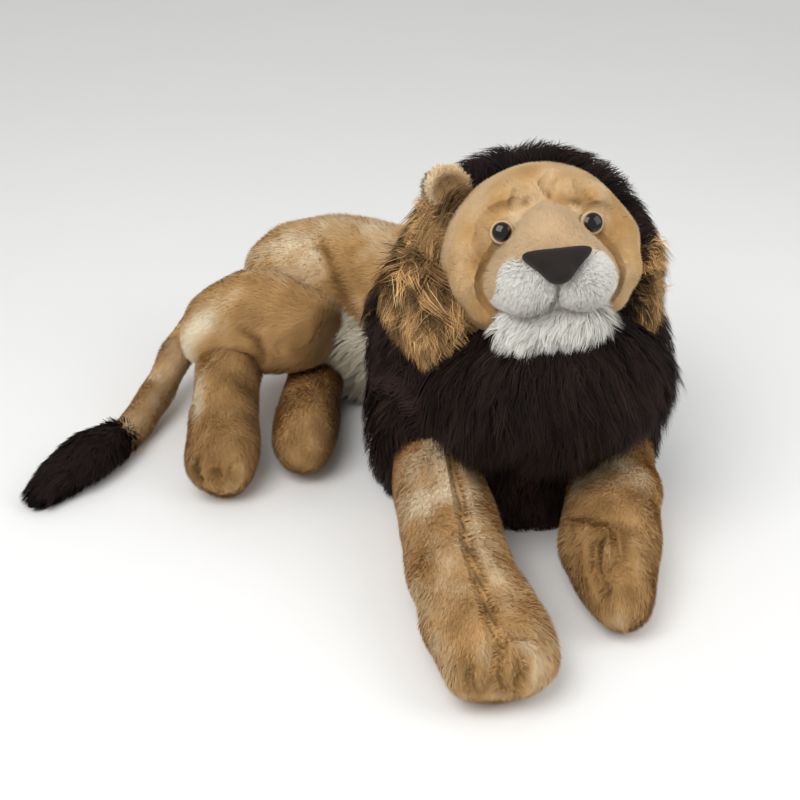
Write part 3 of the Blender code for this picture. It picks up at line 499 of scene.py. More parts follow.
# The legs' pieces: form, body, forms that cover it, seed, lean to the paler side (painted light over the
# whole pile, painted shade where below nought), marks, how many folds part
legs = {
    "foreleg_right": ("foreleg_right", "foreleg_right", ("chest",), 51, 0.17, foreleg_right_marks, 5),
    "foreleg_left": ("foreleg_left", "foreleg_left", ("chest",), 52, -0.32, foreleg_left_marks, 2),
    "hind_thigh_right": ("thigh", "hind_leg_right", (), 53, -0.25, thigh_marks, 1),
    "hind_foot_right": ("foot", "hind_leg_right", ("thigh",), 54, -0.28, foot_marks, 3),
    "hind_leg_left": ("hind_left", "hind_leg_left", ("torso",), 55, -0.6, hind_left_marks, 2),
}


def colour_setting(name, description, default):
    return FloatVectorProperty(
        name=name, description=description, size=3, subtype="COLOR", min=0.0, max=1.0, default=default
    )


def length_setting(name, description, default):
    return FloatProperty(name=name, description=description, min=0.0, default=default, unit="LENGTH")


class PileSettings(bpy.types.PropertyGroup):
    """How long, wide and dense the strands are."""

    short_length: length_setting("Short Pile", "Length of the pile on body and legs", 0.0096)
    face_length: length_setting("Face Pile", "Length of the pile on the face", 0.0052)
    short_width: length_setting("Strand Width", "Width of a short strand at its root", 0.0009)
    mane_length: length_setting("Mane Pile", "Length of the pile of the manes", 0.074)
    mane_width: length_setting("Mane Strand Width", "Width of a mane strand at its root", 0.0011)
    density: FloatProperty(
        name="Density", description="Share of the full number of strands", default=1.0, min=0.05, max=1.5
    )
    seed: IntProperty(name="Seed", description="Start of every random draw", default=11, min=0)


class ColourSettings(bpy.types.PropertyGroup):
    """The colours of the plush and of the face."""

    gold: colour_setting("Gold", "Body pile", (0.600, 0.362, 0.150))
    # Pale Gold and Deep Gold also paint light and shade: Pale Gold the highlights where the pile is lit or
    # its nap catches the light, Deep Gold the shade in creases, folds and where its nap turns away
    pale_gold: colour_setting("Pale Gold", "Body pile brushed up", (0.800, 0.615, 0.385))
    deep_gold: colour_setting("Deep Gold", "Body pile brushed down", (0.376, 0.205, 0.076))
    cream: colour_setting("Cream", "Snout panel", (0.660, 0.468, 0.275))
    white: colour_setting("White", "Muzzle and beard", (0.86, 0.84, 0.78))
    belly: colour_setting("Belly", "Belly panel", (0.82, 0.74, 0.58))
    mane: colour_setting("Mane", "Mane and tail tuft", (0.0066, 0.0040, 0.0033))
    mane_tip: colour_setting("Mane Tips", "Tips of the mane", (0.024, 0.0136, 0.0112))
    ruff: colour_setting("Ruff", "Golden long pile by the jaws", (0.50, 0.30, 0.125))
    ruff_root: colour_setting("Ruff Roots", "Roots of the golden long pile", (0.17, 0.085, 0.035))
    nose: colour_setting("Nose", "Velour of the nose", (0.015, 0.0115, 0.0100))
    lining: colour_setting("Ear Lining", "Pile inside the ears", (0.400, 0.245, 0.115))


class StageSettings(bpy.types.PropertyGroup):
    """The floor, the lamps and the camera."""

    floor: colour_setting("Floor", "Colour of the floor", (0.86, 0.86, 0.85))
    key_power: FloatProperty(name="Key", description="Power of the main lamp", default=30.0, unit="POWER")
    fill_power: FloatProperty(name="Fill", description="Power of the side lamp", default=9.0, unit="POWER")
    sky: FloatProperty(name="Sky", description="Strength of the light all round", default=0.62, min=0.0)
    focal_length: FloatProperty(
        name="Focal Length", description="Lens of the camera", default=56.25, unit="CAMERA"
    )


class Term:
    """A number in a material: its sums, differences and products add their Math nodes."""

    def __init__(self, finish, socket):
        self.finish = finish
        self.socket = socket

    def maths(self, operation, other):
        made = self.finish.node("ShaderNodeMath", {"operation": operation}, {0: self, 1: other})
        return Term(self.finish, made.outputs[0])

    def __add__(self, other):
        return self.maths("ADD", other)

    def __sub__(self, other):
        return self.maths("SUBTRACT", other)

    def __mul__(self, other):
        return self.maths("MULTIPLY", other)


class Finish:
    """A material under construction: its shader, and one method that adds any other node."""

    def __init__(self, name, **constants):
        self.material = bpy.data.materials.new(name)
        self.material.use_nodes = True
        self.tree = self.material.node_tree
        self.shader = self.tree.nodes["Principled BSDF"]
        for socket, value in constants.items():
            self.shader.inputs[socket.replace("_", " ")].default_value = value

    def node(self, kind, settings, values):
        made = self.tree.nodes.new(kind)
        for key, value in settings.items():
            setattr(made, key, value)
        for key, value in values.items():
            self.feed(made.inputs[key], value)
        return made

    def feed(self, socket, value):
        if isinstance(value, Term):
            value = value.socket
        if isinstance(value, bpy.types.NodeSocket):
            self.tree.links.new(value, socket)
        else:
            socket.default_value = value

    def paint(self, socket, value):
        self.feed(self.shader.inputs[socket], value)

    def noise(self, scale, detail=3.0, roughness=0.55):
        values = {
            "Vector": self.node("ShaderNodeTexCoord", {}, {}).outputs["Object"],
            "Scale": scale,
            "Detail": detail,
            "Roughness": roughness,
        }
        return Term(self, self.node("ShaderNodeTexNoise", {}, values).outputs["Fac"])

    def attribute(self):
        """The piece's own painted colours."""
        return self.node("ShaderNodeAttribute", {"attribute_name": "pile"}, {}).outputs["Color"]

    def mixed(self, factor, first, second, how="MIX"):
        settings = {"data_type": "RGBA", "blend_type": how}
        return self.node("ShaderNodeMix", settings, {0: factor, 6: first, 7: second}).outputs[2]

    def shaded(self, grey):
        """The piece's own painted colours, made darker or lighter by a grey."""
        tone = self.node("ShaderNodeCombineXYZ", {}, {0: grey, 1: grey, 2: grey}).outputs[0]
        self.paint("Base Color", self.mixed(1.0, self.attribute(), tone, "MULTIPLY"))

    def dappled(self, factor, colour, gain):
        """From the colour to one brighter by the gain."""
        light = [min(channel * gain, 1.0) for channel in colour]
        self.paint("Base Color", self.mixed(factor, (*colour, 1.0), (*light, 1.0)))

    def bumped(self, height, strength, distance):
        made = self.node("ShaderNodeBump", {}, {"Height": height, "Strength": strength, "Distance": distance})
        self.paint("Normal", made.outputs["Normal"])


def pile_finish(name, roughness, specular, variation, scale, sheen=0.0):
    """Strands coloured by their own attribute, a little uneven from tuft to tuft."""
    look = Finish(name, Roughness=roughness, Specular_IOR_Level=specular, Sheen_Weight=sheen)
    look.paint("Sheen Tint", (1.0, 0.86, 0.66, 1.0))
    look.paint("Sheen Roughness", 0.42)
    look.shaded(look.noise(scale, detail=2.0) * variation + (1.0 - variation / 2))
    return look.material


def skin_finish(name):
    """The knitted backing under the pile, in the pile's colours, with painted shade between its tufts."""
    look = Finish(name, Roughness=0.95, Specular_IOR_Level=0.1)
    tufts = look.noise(scale=620.0, detail=4.0, roughness=0.7)
    look.shaded(tufts * 0.24 + 0.80)
    look.bumped(tufts, strength=0.4, distance=0.0015)
    return look.material


def velour_finish(name):
    """The nose's short velvety pile."""
    look = Finish(name, Roughness=0.85, Specular_IOR_Level=0.16, Sheen_Weight=0.06)
    fine, broad = look.noise(scale=1500.0, roughness=0.7), look.noise(scale=70.0)
    look.dappled(fine * 0.6 + broad * 0.4 - 0.1, bpy.context.scene.lion_colours.nose, gain=1.9)
    look.bumped(fine, strength=0.6, distance=0.0008)
    return look.material


def eye_finish(name):
    """Moulded plastic: the eye's own colours in an attribute, under a clear gloss."""
    look = Finish(name, Roughness=0.10, Specular_IOR_Level=0.42)
    look.paint("Base Color", look.attribute())
    return look.material


def floor_finish(name):
    """Pale paper that keeps the shadow, a little uneven."""
    look = Finish(name, Roughness=0.9, Specular_IOR_Level=0.2)
    look.dappled(look.noise(scale=3.0, detail=4.0), bpy.context.scene.lion_stage.floor, gain=1.04)
    look.bumped(look.noise(scale=260.0, detail=4.0), strength=0.04, distance=0.001)
    return look.material


finish_makers = {
    "plush_pile": partial(pile_finish, roughness=0.9, specular=0.06, variation=0.10, scale=260.0, sheen=0.22),
    "mane_pile": partial(pile_finish, roughness=0.62, specular=0.11, variation=0.5, scale=120.0),
    "plush_skin": skin_finish,
    "nose_velour": velour_finish,
    "eye_plastic": eye_finish,
    "floor_paper": floor_finish,
}
finishes = {}


def finish(name):
    """Each material, made the first time that a piece asks for it."""
    if name not in finishes:
        finishes[name] = finish_makers[name](name)
    return finishes[name]


def drift(places, size, seed, waves=7, strength=0.5):
    """A smooth wandering value, mostly from -1 to 1, over patches of that size."""
    draw = np.random.default_rng(seed)
    value = np.zeros(len(places))
    for _ in range(waves):
        wave = draw.normal(size=3)
        wave *= 2 * math.pi / (size * 2.0 * np.linalg.norm(wave))
        value += np.sin(places @ wave * draw.uniform(0.6, 1.5) + draw.uniform(0, 2 * math.pi))
    return value * strength


def unit(vectors):
    return vectors / np.maximum(np.linalg.norm(vectors, axis=1, keepdims=True), 1e-9)


def line_distance(places, line):
    """How far each place is from a line of points, the way to it from the line, and the line's own way."""
    best = np.full(len(places), 1e9)
    off, along = np.zeros_like(places), np.zeros_like(places)
    for start, end in zip(line, line[1:]):
        run = end - start
        share = np.clip((places - start) @ run / (run @ run), 0.0, 1.0)
        offset = places - start - share[:, None] * run
        away = np.linalg.norm(offset, axis=1)
        closer = away < best
        best = np.where(closer, away, best)
        off[closer] = offset[closer]
        along[closer] = run / np.linalg.norm(run)
    return best, off, along


def rows_of(items, name, kind=float):
    """A property with three numbers of each item, as the rows of an array."""
    values = np.empty(len(items) * 3, kind)
    items.foreach_get(name, values)
    return values.reshape(-1, 3)


class Form:
    """A stuffed form under its pile: its mesh, the line that it follows, and a tree to search it."""

    def __init__(self, mesh, line):
        self.mesh = mesh
        self.line = np.array([tuple(point) for point in line])
        self.read()

    def read(self):
        self.mesh.calc_loop_triangles()
        self.points = rows_of(self.mesh.vertices, "co")
        self.normals = rows_of(self.mesh.vertices, "normal")
        self.faces = rows_of(self.mesh.loop_triangles, "vertices", int)
        first, second, third = (self.points[self.faces[:, corner]] for corner in range(3))
        self.areas = np.linalg.norm(np.cross(second - first, third - first), axis=1) / 2
        self.middles = (first + second + third) / 3
        self.tree = BVHTree.FromPolygons(self.points.tolist(), self.faces.tolist())

    def move(self, points):
        self.mesh.vertices.foreach_set("co", points.astype(np.float32).ravel())
        self.mesh.update()
        self.read()

    def raise_by(self, height):
        """Moves the surface out by a height for each of its points, or in where that is negative."""
        self.move(self.points + self.normals * height[:, None])

    def placed(self, matrix):
        self.mesh.transform(matrix)
        self.line = np.array([tuple(matrix @ Vector(point)) for point in self.line])
        self.read()
        return self

    def sunk(self, depth):
        """A copy of the form under its pile: moved in, but left where it rests on the floor."""
        under = Form(self.mesh.copy(), self.line)
        points = under.points - under.normals * depth
        resting = np.clip((floor_ease - under.points[:, 2]) / floor_ease, 0.0, 1.0)
        points[:, 2] -= resting * np.maximum(-under.normals[:, 2], 0.0) * depth
        points[:, 2] = np.maximum(points[:, 2], floor_touch)
        under.move(points)
        return under

    def buried(self, places, depth):
        """Which places lie inside the form, deeper than that."""
        found = np.zeros(len(places), bool)
        low, high = self.points.min(axis=0), self.points.max(axis=0)
        for index in np.nonzero(((places > low) & (places < high)).all(axis=1))[0]:
            place = Vector(places[index])
            hit, normal, _, away = self.tree.find_nearest(place)
            found[index] = away > depth and (place - hit).dot(normal) < 0.0
        return found

    def scatter(self, count, draw, share):
        """Random places all over the form, with its normal there, thinner where the share is small."""
        weight = self.areas * share
        chosen = draw.choice(len(weight), size=count, p=weight / weight.sum())
        first, second = draw.random(count), draw.random(count)
        over = first + second > 1.0
        first[over], second[over] = 1.0 - first[over], 1.0 - second[over]
        shares = np.stack((1.0 - first - second, first, second), axis=1)
        corners = self.faces[chosen]
        places = (self.points[corners] * shares[:, :, None]).sum(axis=1)
        return places, unit((self.normals[corners] * shares[:, :, None]).sum(axis=1))


def placed_rows(shares, start, length, width, height, rise=None):
    """A form's rows in metres: each centre, whose level is a share of the rise, with its two half sizes."""
    rows = []
    for across, back, level, half_width, half_height in np.array(shares) / 100:
        centre = start + Vector((across * length, back * length, level * (rise or height)))
        rows.append((centre, half_width * width, half_height * height))
    return rows


def turned_by(turns):
    """A rotation about each axis in turn."""
    made = Matrix.Identity(4)
    for axis, degrees in turns:
        made = made @ Matrix.Rotation(math.radians(degrees), 4, axis)
    return made


def head_frame():
    return Matrix.Translation(head_place) @ turned_by(head_turns_deg)


def in_head(places):
    """The places in the head's own frame."""
    pose = head_frame()
    return (places - np.array(pose.translation)) @ np.array(pose.to_3x3())


def loft_cage(rows, sides, up, pear):
    """Rings of a few sides along the rows, bridged and closed, so wide that smoothing gives the sizes."""
    shrink = (2 + math.cos(2 * math.pi / sides)) / 3
    bm = bmesh.new()
    loops = []
    for index, (centre, half_width, half_height) in enumerate(rows):
        before = rows[max(index - 1, 0)][0]
        after = rows[min(index + 1, len(rows) - 1)][0]
        along = (after - before).normalized()
        side = along.cross(up).normalized()
        turn = Matrix((side, side.cross(along), along)).transposed().to_4x4()
        size = Matrix.Diagonal((half_width / shrink, half_height / shrink, 1.0, 1.0))
        quarter = Matrix.Rotation(math.radians(-90.0), 4, "Z")
        ring = bmesh.ops.create_circle(bm, segments=sides, radius=1.0, matrix=quarter)["verts"]
        for vertex in ring:
            vertex.co.x *= np.interp(vertex.co.y, *zip(*pear))
        bmesh.ops.transform(bm, verts=ring, matrix=Matrix.Translation(centre) @ turn @ size)
        loops.append(list({edge for vertex in ring for edge in vertex.link_edges}))
    for near, far in zip(loops, loops[1:]):
        bmesh.ops.bridge_loops(bm, edges=near + far)
    bmesh.ops.holes_fill(bm, edges=bm.edges, sides=sides)
    return bm


def outward_mesh(bm, name):
    """The mesh of a closed shape, its faces outwards."""
    bmesh.ops.recalc_face_normals(bm, faces=bm.faces)
    if bm.calc_volume(signed=True) < 0.0:
        bmesh.ops.reverse_faces(bm, faces=bm.faces)
    mesh = bpy.data.meshes.new(name)
    bm.to_mesh(mesh)
    bm.free()
    return mesh


def linked(name, data):
    made = bpy.data.objects.new(name, data)
    bpy.context.scene.collection.objects.link(made)
    return made


def smoothed(bm, levels):
    """The shape of a coarse cage after smoothing, as triangles."""
    cage = outward_mesh(bm, "cage")
    holder = linked("cage", cage)
    smooth = holder.modifiers.new("smooth", "SUBSURF")
    smooth.levels = smooth.render_levels = levels
    holder.modifiers.new("triangles", "TRIANGULATE")
    mesh = bpy.data.meshes.new_from_object(holder.evaluated_get(bpy.context.evaluated_depsgraph_get()))
    bpy.data.objects.remove(holder)
    bpy.data.meshes.remove(cage)
    return mesh


def stuffed(rows, sides=6, up=up_z, pear=((0.0, 1.0),), levels=smooth_levels):
    return Form(smoothed(loft_cage(rows, sides, up, pear), levels), [row[0] for row in rows])


def egg(half_sizes, matrix, cuts):
    """A ball stretched to three half sizes and placed by the matrix."""
    bm = bmesh.new()
    bmesh.ops.create_icosphere(bm, subdivisions=cuts, radius=1.0)
    bmesh.ops.transform(bm, verts=bm.verts, matrix=Matrix.Diagonal((*half_sizes, 1.0)))
    reach = Vector((0.0, 0.0, half_sizes[2]))
    return Form(smoothed(bm, 2), [reach, Vector(), -reach]).placed(matrix)


def settled(form, height=0.0):
    lowest = form.points[:, 2].min()
    return form.placed(Matrix.Translation((0.0, 0.0, height - lowest)))


def faded(away):
    """From 1 where a share of the way is nought down to 0 at its full width."""
    return np.clip(1.0 - away**2, 0.0, 1.0) ** 2


def moved_by(form, centre, radius, height):
    """Swells the form round a point, or dents it for a negative height."""
    away = np.linalg.norm(form.points - np.array(centre), axis=1)
    form.raise_by(height * faded(away / radius))


def swollen(form, swells):
    """Swells the form round each (x, y, z, radius, height), all in millimetres."""
    for x, y, z, radius, height in np.array(swells).reshape(-1, 5) / 1000:
        moved_by(form, (x, y, z), radius, height)
    return form


def folded(form, marks):
    """Draws the form in along its sewn lines."""
    for line, width, depth in folds_of(marks):
        form.raise_by(-depth * faded(line_distance(form.points, line)[0] / width))
    return form


def lumpy(form, size, height, seed):
    """The slight unevenness of hand-packed stuffing."""
    form.raise_by(drift(form.points, size, seed) * height)
    return form


def make_limb(shares, place, sizes, lumps, swells, marks, sides=6, height=0.0):
    """A stuffed limb, or the torso, resting on the floor or at that height."""
    limb = stuffed(placed_rows(shares, Vector((*place, 0.0)), *sizes), sides)
    return folded(swollen(lumpy(settled(limb, height), *lumps), swells), marks)


def make_hind_left():
    """The lower hind leg, which is settled again after it has swollen."""
    lumps = (0.05, 0.001, 9)
    limb = make_limb(hind_left_shares, hind_left_place, hind_left_sizes, lumps, hind_left_swells, ())
    return folded(settled(limb), hind_left_marks)


def tail_rows():
    return placed_rows(tail_shares, Vector(tail_root), *tail_sizes)


def make_tuft():
    end = tail_rows()[-2][0]
    rows = placed_rows(tuft_shares, Vector((end.x, end.y, 0.0)), *tuft_sizes)
    return settled(stuffed(rows, levels=coarse_levels))


def make_plain_head(levels=coarse_levels):
    return stuffed(placed_rows(head_shares, Vector(), *head_sizes), 8, levels=levels)


def make_head_local():
    """The head in its own frame, with its brows, sockets, cheeks and folds."""
    head = swollen(lumpy(make_plain_head(face_levels), 0.05, 0.0008, 12), head_swells)
    for place in eye_places():
        moved_by(head, place.translation, eye_socket_radius, -eye_socket_depth)
    return folded(head, head_marks)


def snout_nearness(places):
    """From 1 where the places touch the snout panel down to 0 at the width of its fold, under the eyes."""
    tree = shape("snout").tree
    away = np.array([tree.find_nearest(Vector(place))[3] for place in places])
    under = np.clip((snout_fold_top - in_head(places)[:, 2]) / snout_fold_fade, 0.0, 1.0)
    return faded(away / snout_fold_width) * under


def make_head():
    """The head in its place, drawn in along the snout panel's seam."""
    local = shape("head_local")
    head = Form(local.mesh.copy(), local.line).placed(head_frame())
    head.raise_by(-snout_fold_depth * snout_nearness(head.points))
    return head


def make_snout():
    rows = placed_rows(snout_shares, Vector(snout_place), *snout_sizes)
    return swollen(stuffed(rows, 12, pear=snout_pear_shares), mouth_dents).placed(head_frame())


def make_collar():
    rows = placed_rows(head_mane_shares, Vector(), *head_mane_sizes)
    return stuffed(rows, 8, levels=coarse_levels).placed(head_frame())


def make_chest():
    rows = placed_rows(chest_shares, Vector((*chest_place, 0.0)), *chest_sizes)
    return swollen(stuffed(rows, 8, forward_y, levels=coarse_levels), chest_swells)


def make_ball(place, half_sizes, turn_deg, cuts):
    pose = head_frame() @ Matrix.Translation(place) @ turned_by((("Y", turn_deg),))
    return egg(half_sizes, pose, cuts)


def ear_pose(side):
    place, turns = ears[side]
    return head_frame() @ Matrix.Translation(place) @ turned_by(turns)


def make_ear(side):
    """A rounded ear, its front dished for the lining."""
    pose = ear_pose(side)
    ear = egg(ear_half, pose, 3)
    moved_by(ear, pose @ Vector((0.0, -ear_half[1], 0.0)), ear_dish_radius, -ear_dish_depth)
    return ear


shape_makers = {
    "hind_left": make_hind_left,
    "tail": lambda: settled(stuffed(tail_rows())),
    "tuft": make_tuft,
    "head_plain": make_plain_head,
    "head_local": make_head_local,
    "head": make_head,
    "snout": make_snout,
    "collar": make_collar,
    "chest": make_chest,
    **{name: partial(make_limb, *values) for name, values in limbs.items()},
    **{name: partial(make_ball, *values) for name, values in balls.items()},
    **{f"ear_{side}": partial(make_ear, side) for side in ears},
}
shapes = {}


def shape(name):
    """Each stuffed form, made the first time that a piece asks for it."""
    if name not in shapes:
        shapes[name] = shape_makers[name]()
    return shapes[name]


def eye_places():
    """Where each eye sits on the head, in the head's own frame, its Z axis pointing out."""
    places = []
    for side in (-1, 1):
        start = Vector((side * eye_spacing / 2, -head_sizes[0], eye_level))
        place, normal, _, _ = shape("head_plain").tree.ray_cast(start, forward_y)
        turn = normal.to_track_quat("Z", "Y").to_matrix().to_4x4()
        places.append(Matrix.Translation(place) @ turn)
    return places


def eye_frames():
    return [head_frame() @ place for place in eye_places()]


def following(line, drop=0.0):
    """Pile combed along the form's own line."""
    return lambda places: line_distance(places, line)[2] + np.array((0.0, 0.0, -drop))


def laid_on(form, line, depth):
    """A line taken down into the form in short steps, to that depth under its surface."""
    fine = []
    for start, end in zip(line, line[1:]):
        steps = max(1, round(float(np.linalg.norm(end - start)) / crease_step))
        fine += [start + (end - start) * step / steps for step in range(steps)]
    fine = np.array([*fine, line[-1]])
    inward = -unit(line_distance(fine, form.line)[1])
    laid = []
    for point, way in zip(fine, inward):
        hit = form.tree.ray_cast(Vector(point - way * crease_search), Vector(way))[0]
        laid.append(point if hit is None else np.array(hit) + way * depth)
    return np.array(laid)


def parted(comb, lines):
    """Pile combed the same way, but leaning off each line to both sides, so that a parting opens there."""

    def lean(places):
        way = unit(comb(places))
        for line in lines:
            away, off, _ = line_distance(places, line)
            way = way + unit(off) * (parting_lean * np.exp(-((away / parting_width) ** 2)))[:, None]
        return way

    return lean


def falling(point, spread):
    """Pile that falls straight down, spreading a little from an upright line through the point."""

    def comb(places):
        out = places - np.array(point)
        out[:, 2] = 0.0
        return unit(out) * spread + np.array((0.0, 0.0, -1.0))

    return comb


def away_from(point, push=(0.0, 0.0, 0.0)):
    """Pile combed away from a point."""
    return lambda places: unit(places - np.array(point)) + np.array(push)


def stroked(places, strokes):
    """How much painted light (paler) and painted shade (darker) all the strokes put on the pile at each
    place.
    """
    value = np.zeros(len(places))
    for line, width, amount in strokes:
        value += amount * np.exp(-((line_distance(places, line)[0] / width) ** 2))
    return value


def napped(dark, middle, light, size, seed, lean=0.0, strokes=()):
    """Pile with painted sheen and shade: darker and lighter in patches of about that size where its nap lies
    different ways, painted lighter as a whole by the lean, or darker where the lean is below nought, and
    along the strokes of painted light and shade.
    """

    def tint(places):
        value = patch_nap * drift(places, size, seed) + tuft_nap * drift(places, size / 3, seed + 1) + lean
        value = (value + stroked(places, strokes))[:, None]
        high = np.clip(value, 0.0, 1.0)
        low = np.clip(-value, 0.0, 1.0)
        deeper = 1.0 - deepest_shade * np.clip(-1.0 - value, 0.0, 1.0)
        paler = np.clip(value - 1.0, 0.0, 1.0)
        shade = (np.array(middle) * (1 - high - low) + np.array(light) * high + np.array(dark) * low) * deeper
        return shade * (1 - paler) + np.array(highlight_white) * paler

    return tint


def clear_of(*names, depth):
    """Leaves out the places inside other forms, deeper than that."""

    def keep(places):
        share = np.ones(len(places))
        for name in names:
            share[shape(name).buried(places, depth)] = 0.0
        return share

    return keep


def new_piece(name, mesh, look, body):
    """A piece in one finish that rides on a body."""
    made = linked(name, mesh)
    mesh.materials.clear()
    mesh.materials.append(finish(look))
    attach(made, body)
    return made


def paint_points(mesh, colours):
    layer = mesh.color_attributes.new("pile", "FLOAT_COLOR", "POINT")
    flat = np.ones((len(colours), 4), np.float32)
    flat[:, :3] = np.clip(colours, 0.0, 1.0)
    layer.data.foreach_set("color", flat.ravel())


def lay_skin(name, form, sink, body, tint, *nodes, fill):
    """The stuffed skin under the pile, which stands for the solids of that part."""
    under = form.sunk(sink)
    # Painted shade: the skin a little darker than its pile
    paint_points(under.mesh, tint(under.points) * skin_shade)
    skin = new_piece(name, under.mesh, "plush_skin", body)
    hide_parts(*nodes)
    return under


def strand_faces(strands, steps):
    """The corners of every face: two faces for each step of a strand and one at its tip."""
    one = []
    for low in range(0, 2 * steps - 2, 2):
        one += [(low, low + 1, low + 3), (low, low + 3, low + 2)]
    one.append((2 * steps - 2, 2 * steps - 1, 2 * steps))
    start = np.arange(strands)[:, None, None] * (2 * steps + 1)
    return (start + np.array(one)).reshape(-1, 3)


def strand_mesh(name, points, faces, colours, shading):
    mesh = bpy.data.meshes.new(name)
    mesh.vertices.add(len(points))
    mesh.vertices.foreach_set("co", points.astype(np.float32).ravel())
    mesh.loops.add(faces.size)
    mesh.loops.foreach_set("vertex_index", faces.astype(np.int32).ravel())
    mesh.polygons.add(len(faces))
    mesh.polygons.foreach_set("loop_start", np.arange(0, faces.size, 3, dtype=np.int32))
    mesh.update(calc_edges=True)
    paint_points(mesh, colours)
    layer = mesh.attributes.new("custom_normal", "FLOAT_VECTOR", "POINT")
    layer.data.foreach_set("vector", shading.astype(np.float32).ravel())
    return mesh


def nearest_leaders(roots, leaders):
    """For each strand, the leader whose tuft it belongs to."""
    tree = KDTree(leaders)
    for index in range(leaders):
        tree.insert(roots[index], index)
    tree.balance()
    return np.array([tree.find(root)[1] for root in roots])


def drape(spine, form, sink, heights):
    """Holds strands near a form: from the sink under it at their roots to their heights at their tips."""
    steps = spine.shape[1] - 1
    for step in range(1, steps + 1):
        share = step / steps
        for index, place in enumerate(spine[:, step]):
            place = Vector(place)
            hit, normal, _, away = form.tree.find_nearest(place)
            rise = away if (place - hit).dot(normal) > 0.0 else -away
            limit = (heights[index] + sink) * share - sink
            if rise > limit:
                spine[index, step] = hit + normal * limit


def tilted(first, second, angle):
    """The first direction turned towards the second by the angle."""
    return first * np.cos(angle)[:, None] + second * np.sin(angle)[:, None]


def grow(
    name, skin, comb, tint, body, length, width, look="plush_pile", lift=35.0, steps=1, root_share=0.93,
    tip_share=1.03, clump=0.1, tuft=9, droop=0.0, settle=0.0, wave=0.0, swirl=0.22, jitter=0.2, uneven=0.04,
    locks=0.0, spread=0.07, hug=None, sink=0.0, height=0.0, keep=None, tip_tint=None,
):
    """Strands of pile on a skin: combed, lifted, drawn into tufts and coloured from root to tip."""
    settings = bpy.context.scene.lion_pile
    draw = np.random.default_rng(settings.seed + sum(name.encode()))
    strands = int(strand_counts[name] * settings.density)
    share = keep(skin.middles) if keep else np.ones(len(skin.middles))
    roots, normals = skin.scatter(strands, draw, share)

    # The way of each strand: its comb along the skin, turned a little, then lifted off it
    flow = comb(roots)
    flow = unit(flow - normals * (flow * normals).sum(axis=1)[:, None])
    turn = swirl * drift(roots, *swirl_patches) + jitter * draw.normal(size=strands)
    flow = tilted(flow, np.cross(normals, flow), turn)
    rise = 1.0 + lift_drift * drift(roots, *lift_patches) + lift_scatter * draw.normal(size=strands)
    aim = tilted(flow, normals, np.clip(np.radians(lift) * rise, lift_least, lift_most))
    reach = length * draw.uniform(*length_range, strands)
    reach = (reach * (1.0 + length_drift * drift(roots, *length_patches)))[:, None, None]

    # The spine of each strand, step by step from its root to its tip
    times = np.linspace(0.0, 1.0, steps + 1)[None, :, None]
    pull = -normals * settle + np.array((0.0, 0.0, -droop))
    bent = aim[:, None, :] * times + pull[:, None, :] * times**2
    spine = (roots - normals * root_depth)[:, None, :] + reach * bent
    leaders = max(strands // tuft, 1)
    leader = nearest_leaders(roots, leaders)
    if wave:
        phase = draw.uniform(0, 2 * math.pi, leaders)[leader] + draw.normal(size=strands) * phase_scatter
        phase = phase[:, None, None]
        beats = draw.uniform(*beat_range, leaders)[leader][:, None, None]
        swing = np.sin(times * beats * 2 * math.pi + phase) - np.sin(phase)
        spine += np.cross(aim, normals)[:, None, :] * reach * wave * swing
    spine += (spine[leader] - spine) * clump * times**clump_power
    if hug:
        drape(spine, shape(hug), sink, height * draw.uniform(*height_range, strands))

    # The two edges of each strand about its spine, closing to a point at its tip
    across = unit(np.cross(aim, normals))
    across = tilted(across, np.cross(aim, across), np.radians(roll_deg) * draw.normal(size=strands))
    half = (width / 2 * draw.uniform(*width_range, strands))[:, None, None]
    sides = across[:, None, :] * half * (1.0 - tip_narrowing * times[:, :-1] ** 2)
    points = np.empty((strands, 2 * steps + 1, 3))
    points[:, 0:-1:2] = spine[:, :-1] - sides
    points[:, 1:-1:2] = spine[:, :-1] + sides
    points[:, -1] = spine[:, -1]
    points[:, :, 2] = np.maximum(points[:, :, 2], floor_touch)

    # Colours from root to tip, and shading mostly as the skin's own
    rises = np.append(np.repeat(times[0, :-1, 0], 2), 1.0)[None, :, None]
    base = tint(roots)
    tip = tip_tint(roots) if tip_tint else base
    shift = draw.uniform(1.0 - uneven, 1.0 + uneven, strands)
    shift = (shift * draw.uniform(1.0 - locks, 1.0 + locks, leaders)[leader])[:, None, None]
    colours = base[:, None, :] * root_share * (1 - rises) + tip[:, None, :] * tip_share * rises
    shading = unit(normals + aim_shading * aim + spread * draw.normal(size=normals.shape))
    mesh = strand_mesh(
        name, points.reshape(-1, 3), strand_faces(strands, steps), (colours * shift).reshape(-1, 3),
        np.repeat(shading, 2 * steps + 1, axis=0),
    )
    new_piece(name, mesh, look, body)


def plush(size=0.05, seed=31, lean=0.0, strokes=()):
    """The body's golden pile, with painted sheen and shade in patches of its nap, and its strokes of painted
    light and shade.
    """
    colours = bpy.context.scene.lion_colours
    return napped(colours.deep_gold, colours.gold, colours.pale_gold, size, seed, lean, strokes)


def plain(colour, spread=0.06, size=0.03, seed=41):
    """Pile of one colour, a little uneven by the spread."""
    middle = np.array(colour)
    return napped(middle * (1 - 2 * spread), middle, np.minimum(middle * (1 + spread), 1.0), size, seed)


def blended(first, second, share):
    """A tint that goes over from the first to the second with the share at each place."""

    def tint(places):
        part = share(places)
        return first(places) * (1 - part) + second(places) * part

    return tint


